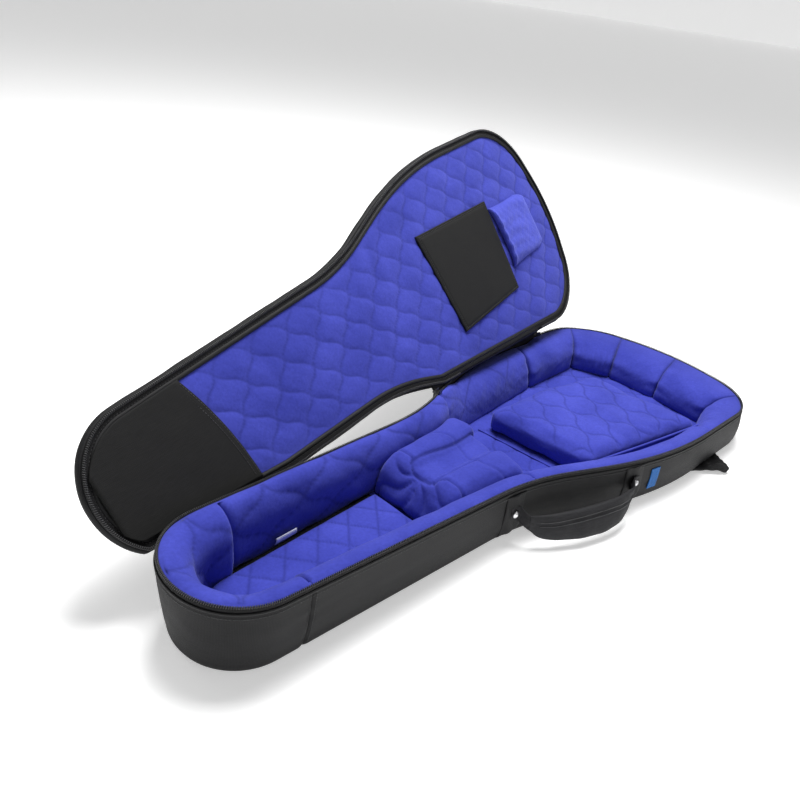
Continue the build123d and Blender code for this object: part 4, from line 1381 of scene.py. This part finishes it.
def care_label():
    """Blank satin ribbon label that leans on the far neck pad."""
    x = np.linspace(-370 * MM, -338 * MM, 12)
    v = np.linspace(0, 1, 10)
    y = FAR_Y(x) - FAR_DEPTH - 5 * MM
    rows = [np.c_[x, y - 4 * MM * np.sin(k * 2.2), np.full(12, between(19 * MM, 31 * MM, k))] for k in v]
    face = np.stack(rows, 1)
    obj = two_faced("care_label_ribbon", face, face + (0, 0.7 * MM, 0))
    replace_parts(dress(obj, LABEL, "tray"), "care_label")


def harness_anchors():
    """Crumpled cloth triangles at the foot of the walls, where the backpack straps are sewn on."""
    for side, name in ((-1, "near"), (1, "far")):
        edge = NEAR_Y if side < 0 else FAR_Y
        a, b = np.meshgrid(np.linspace(0, 1, 40), np.linspace(0, 1, 34), indexing="ij")
        x = between(between(272 * MM, 354 * MM, a), 325 * MM + 10 * MM * (a - 0.5), b)
        y = edge(x) + side * (-4 * MM + 40 * MM * b)
        fold = plan_ripple(x, y, 0.034, 71, 3) * 2.6 * MM
        z = 7.5 * MM + fold + 2.5 * MM * np.sin(b * 3)
        high = np.dstack([x, y, np.maximum(z, 2.6 * MM)])
        low = np.dstack([x, y, np.maximum(z - 4 * MM, 0.3 * MM)])
        obj = dress(closed_plate(f"harness_anchor_{name}", low, high), NYLON, "tray")
        if side < 0:
            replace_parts(obj, "harness_anchors")


def metal_parts():
    for name in ("head_slider", "end_slider", "head_pull", "end_pull"):
        dress(frame["nodes"][name], METAL)
    pull_grips()


def pull_grips():
    """A short moulded grip on each slider's pull tab."""
    for name in ("head_pull", "end_pull"):
        low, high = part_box(name)
        middle = (low + high) / 2
        grid = []
        for t in np.linspace(0, 1, 14):
            z = between(low.z + 1 * MM, middle.z, t)
            size = 3.6 * MM * math.sin(math.pi * between(0.12, 0.88, t)) ** 0.3
            a = np.arange(16) * TAU / 16
            x, y = middle.x + size * np.cos(a), middle.y + 0.55 * size * np.sin(a)
            grid.append(np.c_[x, y, np.full(16, z)])
        dress(skin(f"{name}_grip", np.array(grid), around=True), COIL, name)


# ---------------------------------------------------------------- stage
AZIMUTH, ELEVATION, DISTANCE, ROLL = math.radians(-50.3), math.radians(29.17), 1.0937, math.radians(8.7)
TARGET = Vector((-0.0843, 0.1348, 0.090))
FLOOR_R, WALL_R, WALL_TOP = 60, 80, 30.0
FLOOR_GLOW, WORLD_LIGHT = 0.42, 0.15
LAMPS = [
    ("key", (0.45, 0.5, 2.5), 1.2, 92),
    ("fill", (-1.2, -1.6, 2.0), 1.8, 3),
    ("back", (-0.8, 1.8, 1.9), 1.2, 5),
]


def make_camera():
    flat = math.cos(ELEVATION)
    back = Vector((math.sin(AZIMUTH) * flat, -math.cos(AZIMUTH) * flat, math.sin(ELEVATION)))
    right = (-back).cross(Vector((0, 0, 1))).normalized()
    up = right.cross(-back)
    turned = right * math.cos(ROLL) + up * math.sin(ROLL), up * math.cos(ROLL) - right * math.sin(ROLL)
    camera = link(bpy.data.objects.new("camera", bpy.data.cameras.new("camera")))
    camera.data.lens = 33.75
    camera.data.sensor_width = 36
    camera.data.clip_start = 0.02
    turn = Matrix((*turned, back)).transposed().to_4x4()
    camera.matrix_world = Matrix.Translation(TARGET + back * DISTANCE) @ turn
    bpy.context.scene.camera = camera


def make_floor():
    """Pale round floor with a sloping wall far behind it."""
    n = 96
    angle = np.arange(n) * TAU / n
    ring = np.c_[np.cos(angle), np.sin(angle)]
    verts = np.r_[np.c_[ring * FLOOR_R, np.zeros(n)], np.c_[ring * WALL_R, np.full(n, WALL_TOP)]]
    k = np.arange(n)
    faces = [list(range(n))] + np.stack([k, (k + 1) % n, (k + 1) % n + n, k + n], 1).tolist()
    mesh = bpy.data.meshes.new("floor")
    mesh.from_pydata(verts.tolist(), [], faces)
    floor = link(bpy.data.objects.new("floor", mesh))
    floor.location.z = -0.3 * MM
    mat = bpy.data.materials.new("paper")
    mat.use_nodes = True
    bsdf = mat.node_tree.nodes["Principled BSDF"]
    bsdf.inputs["Base Color"].default_value = (0.95, 0.95, 0.95, 1)
    bsdf.inputs["Roughness"].default_value = 0.9
    bsdf.inputs["Emission Color"].default_value = (1, 1, 1, 1)
    bsdf.inputs["Emission Strength"].default_value = FLOOR_GLOW
    mesh.materials.append(mat)


def make_lights():
    bpy.context.scene.view_settings.view_transform = "Standard"
    world = bpy.data.worlds.new("studio")
    world.use_nodes = True
    world.node_tree.nodes["Background"].inputs["Color"].default_value = (1, 1, 1, 1)
    world.node_tree.nodes["Background"].inputs["Strength"].default_value = WORLD_LIGHT
    bpy.context.scene.world = world
    for name, spot, size, power in LAMPS:
        lamp = bpy.data.lights.new(name, "AREA")
        lamp.energy = power
        lamp.size = size
        obj = link(bpy.data.objects.new(name, lamp))
        obj.location = spot
        obj.rotation_euler = (Vector((0, 0.05, 0.05)) - Vector(spot)).to_track_quat("-Z", "Y").to_euler()


tray_shell()
base_cloth()
tray_zipper()
side_pads()
body_pads()
floor_quilt()
neck_pad()
neck_cradle()
body_block()
lid_shell()
lid_zipper()
lid_binding()
lid_lining()
headstock_panel()
bridge_patch()
pouch()
outer_pocket()
hinge_strip()
handle_grip()
handle_tabs()
handle_ends()
rivets()
side_tag()
care_label()
harness_anchors()
metal_parts()
make_camera()
make_floor()
make_lights()
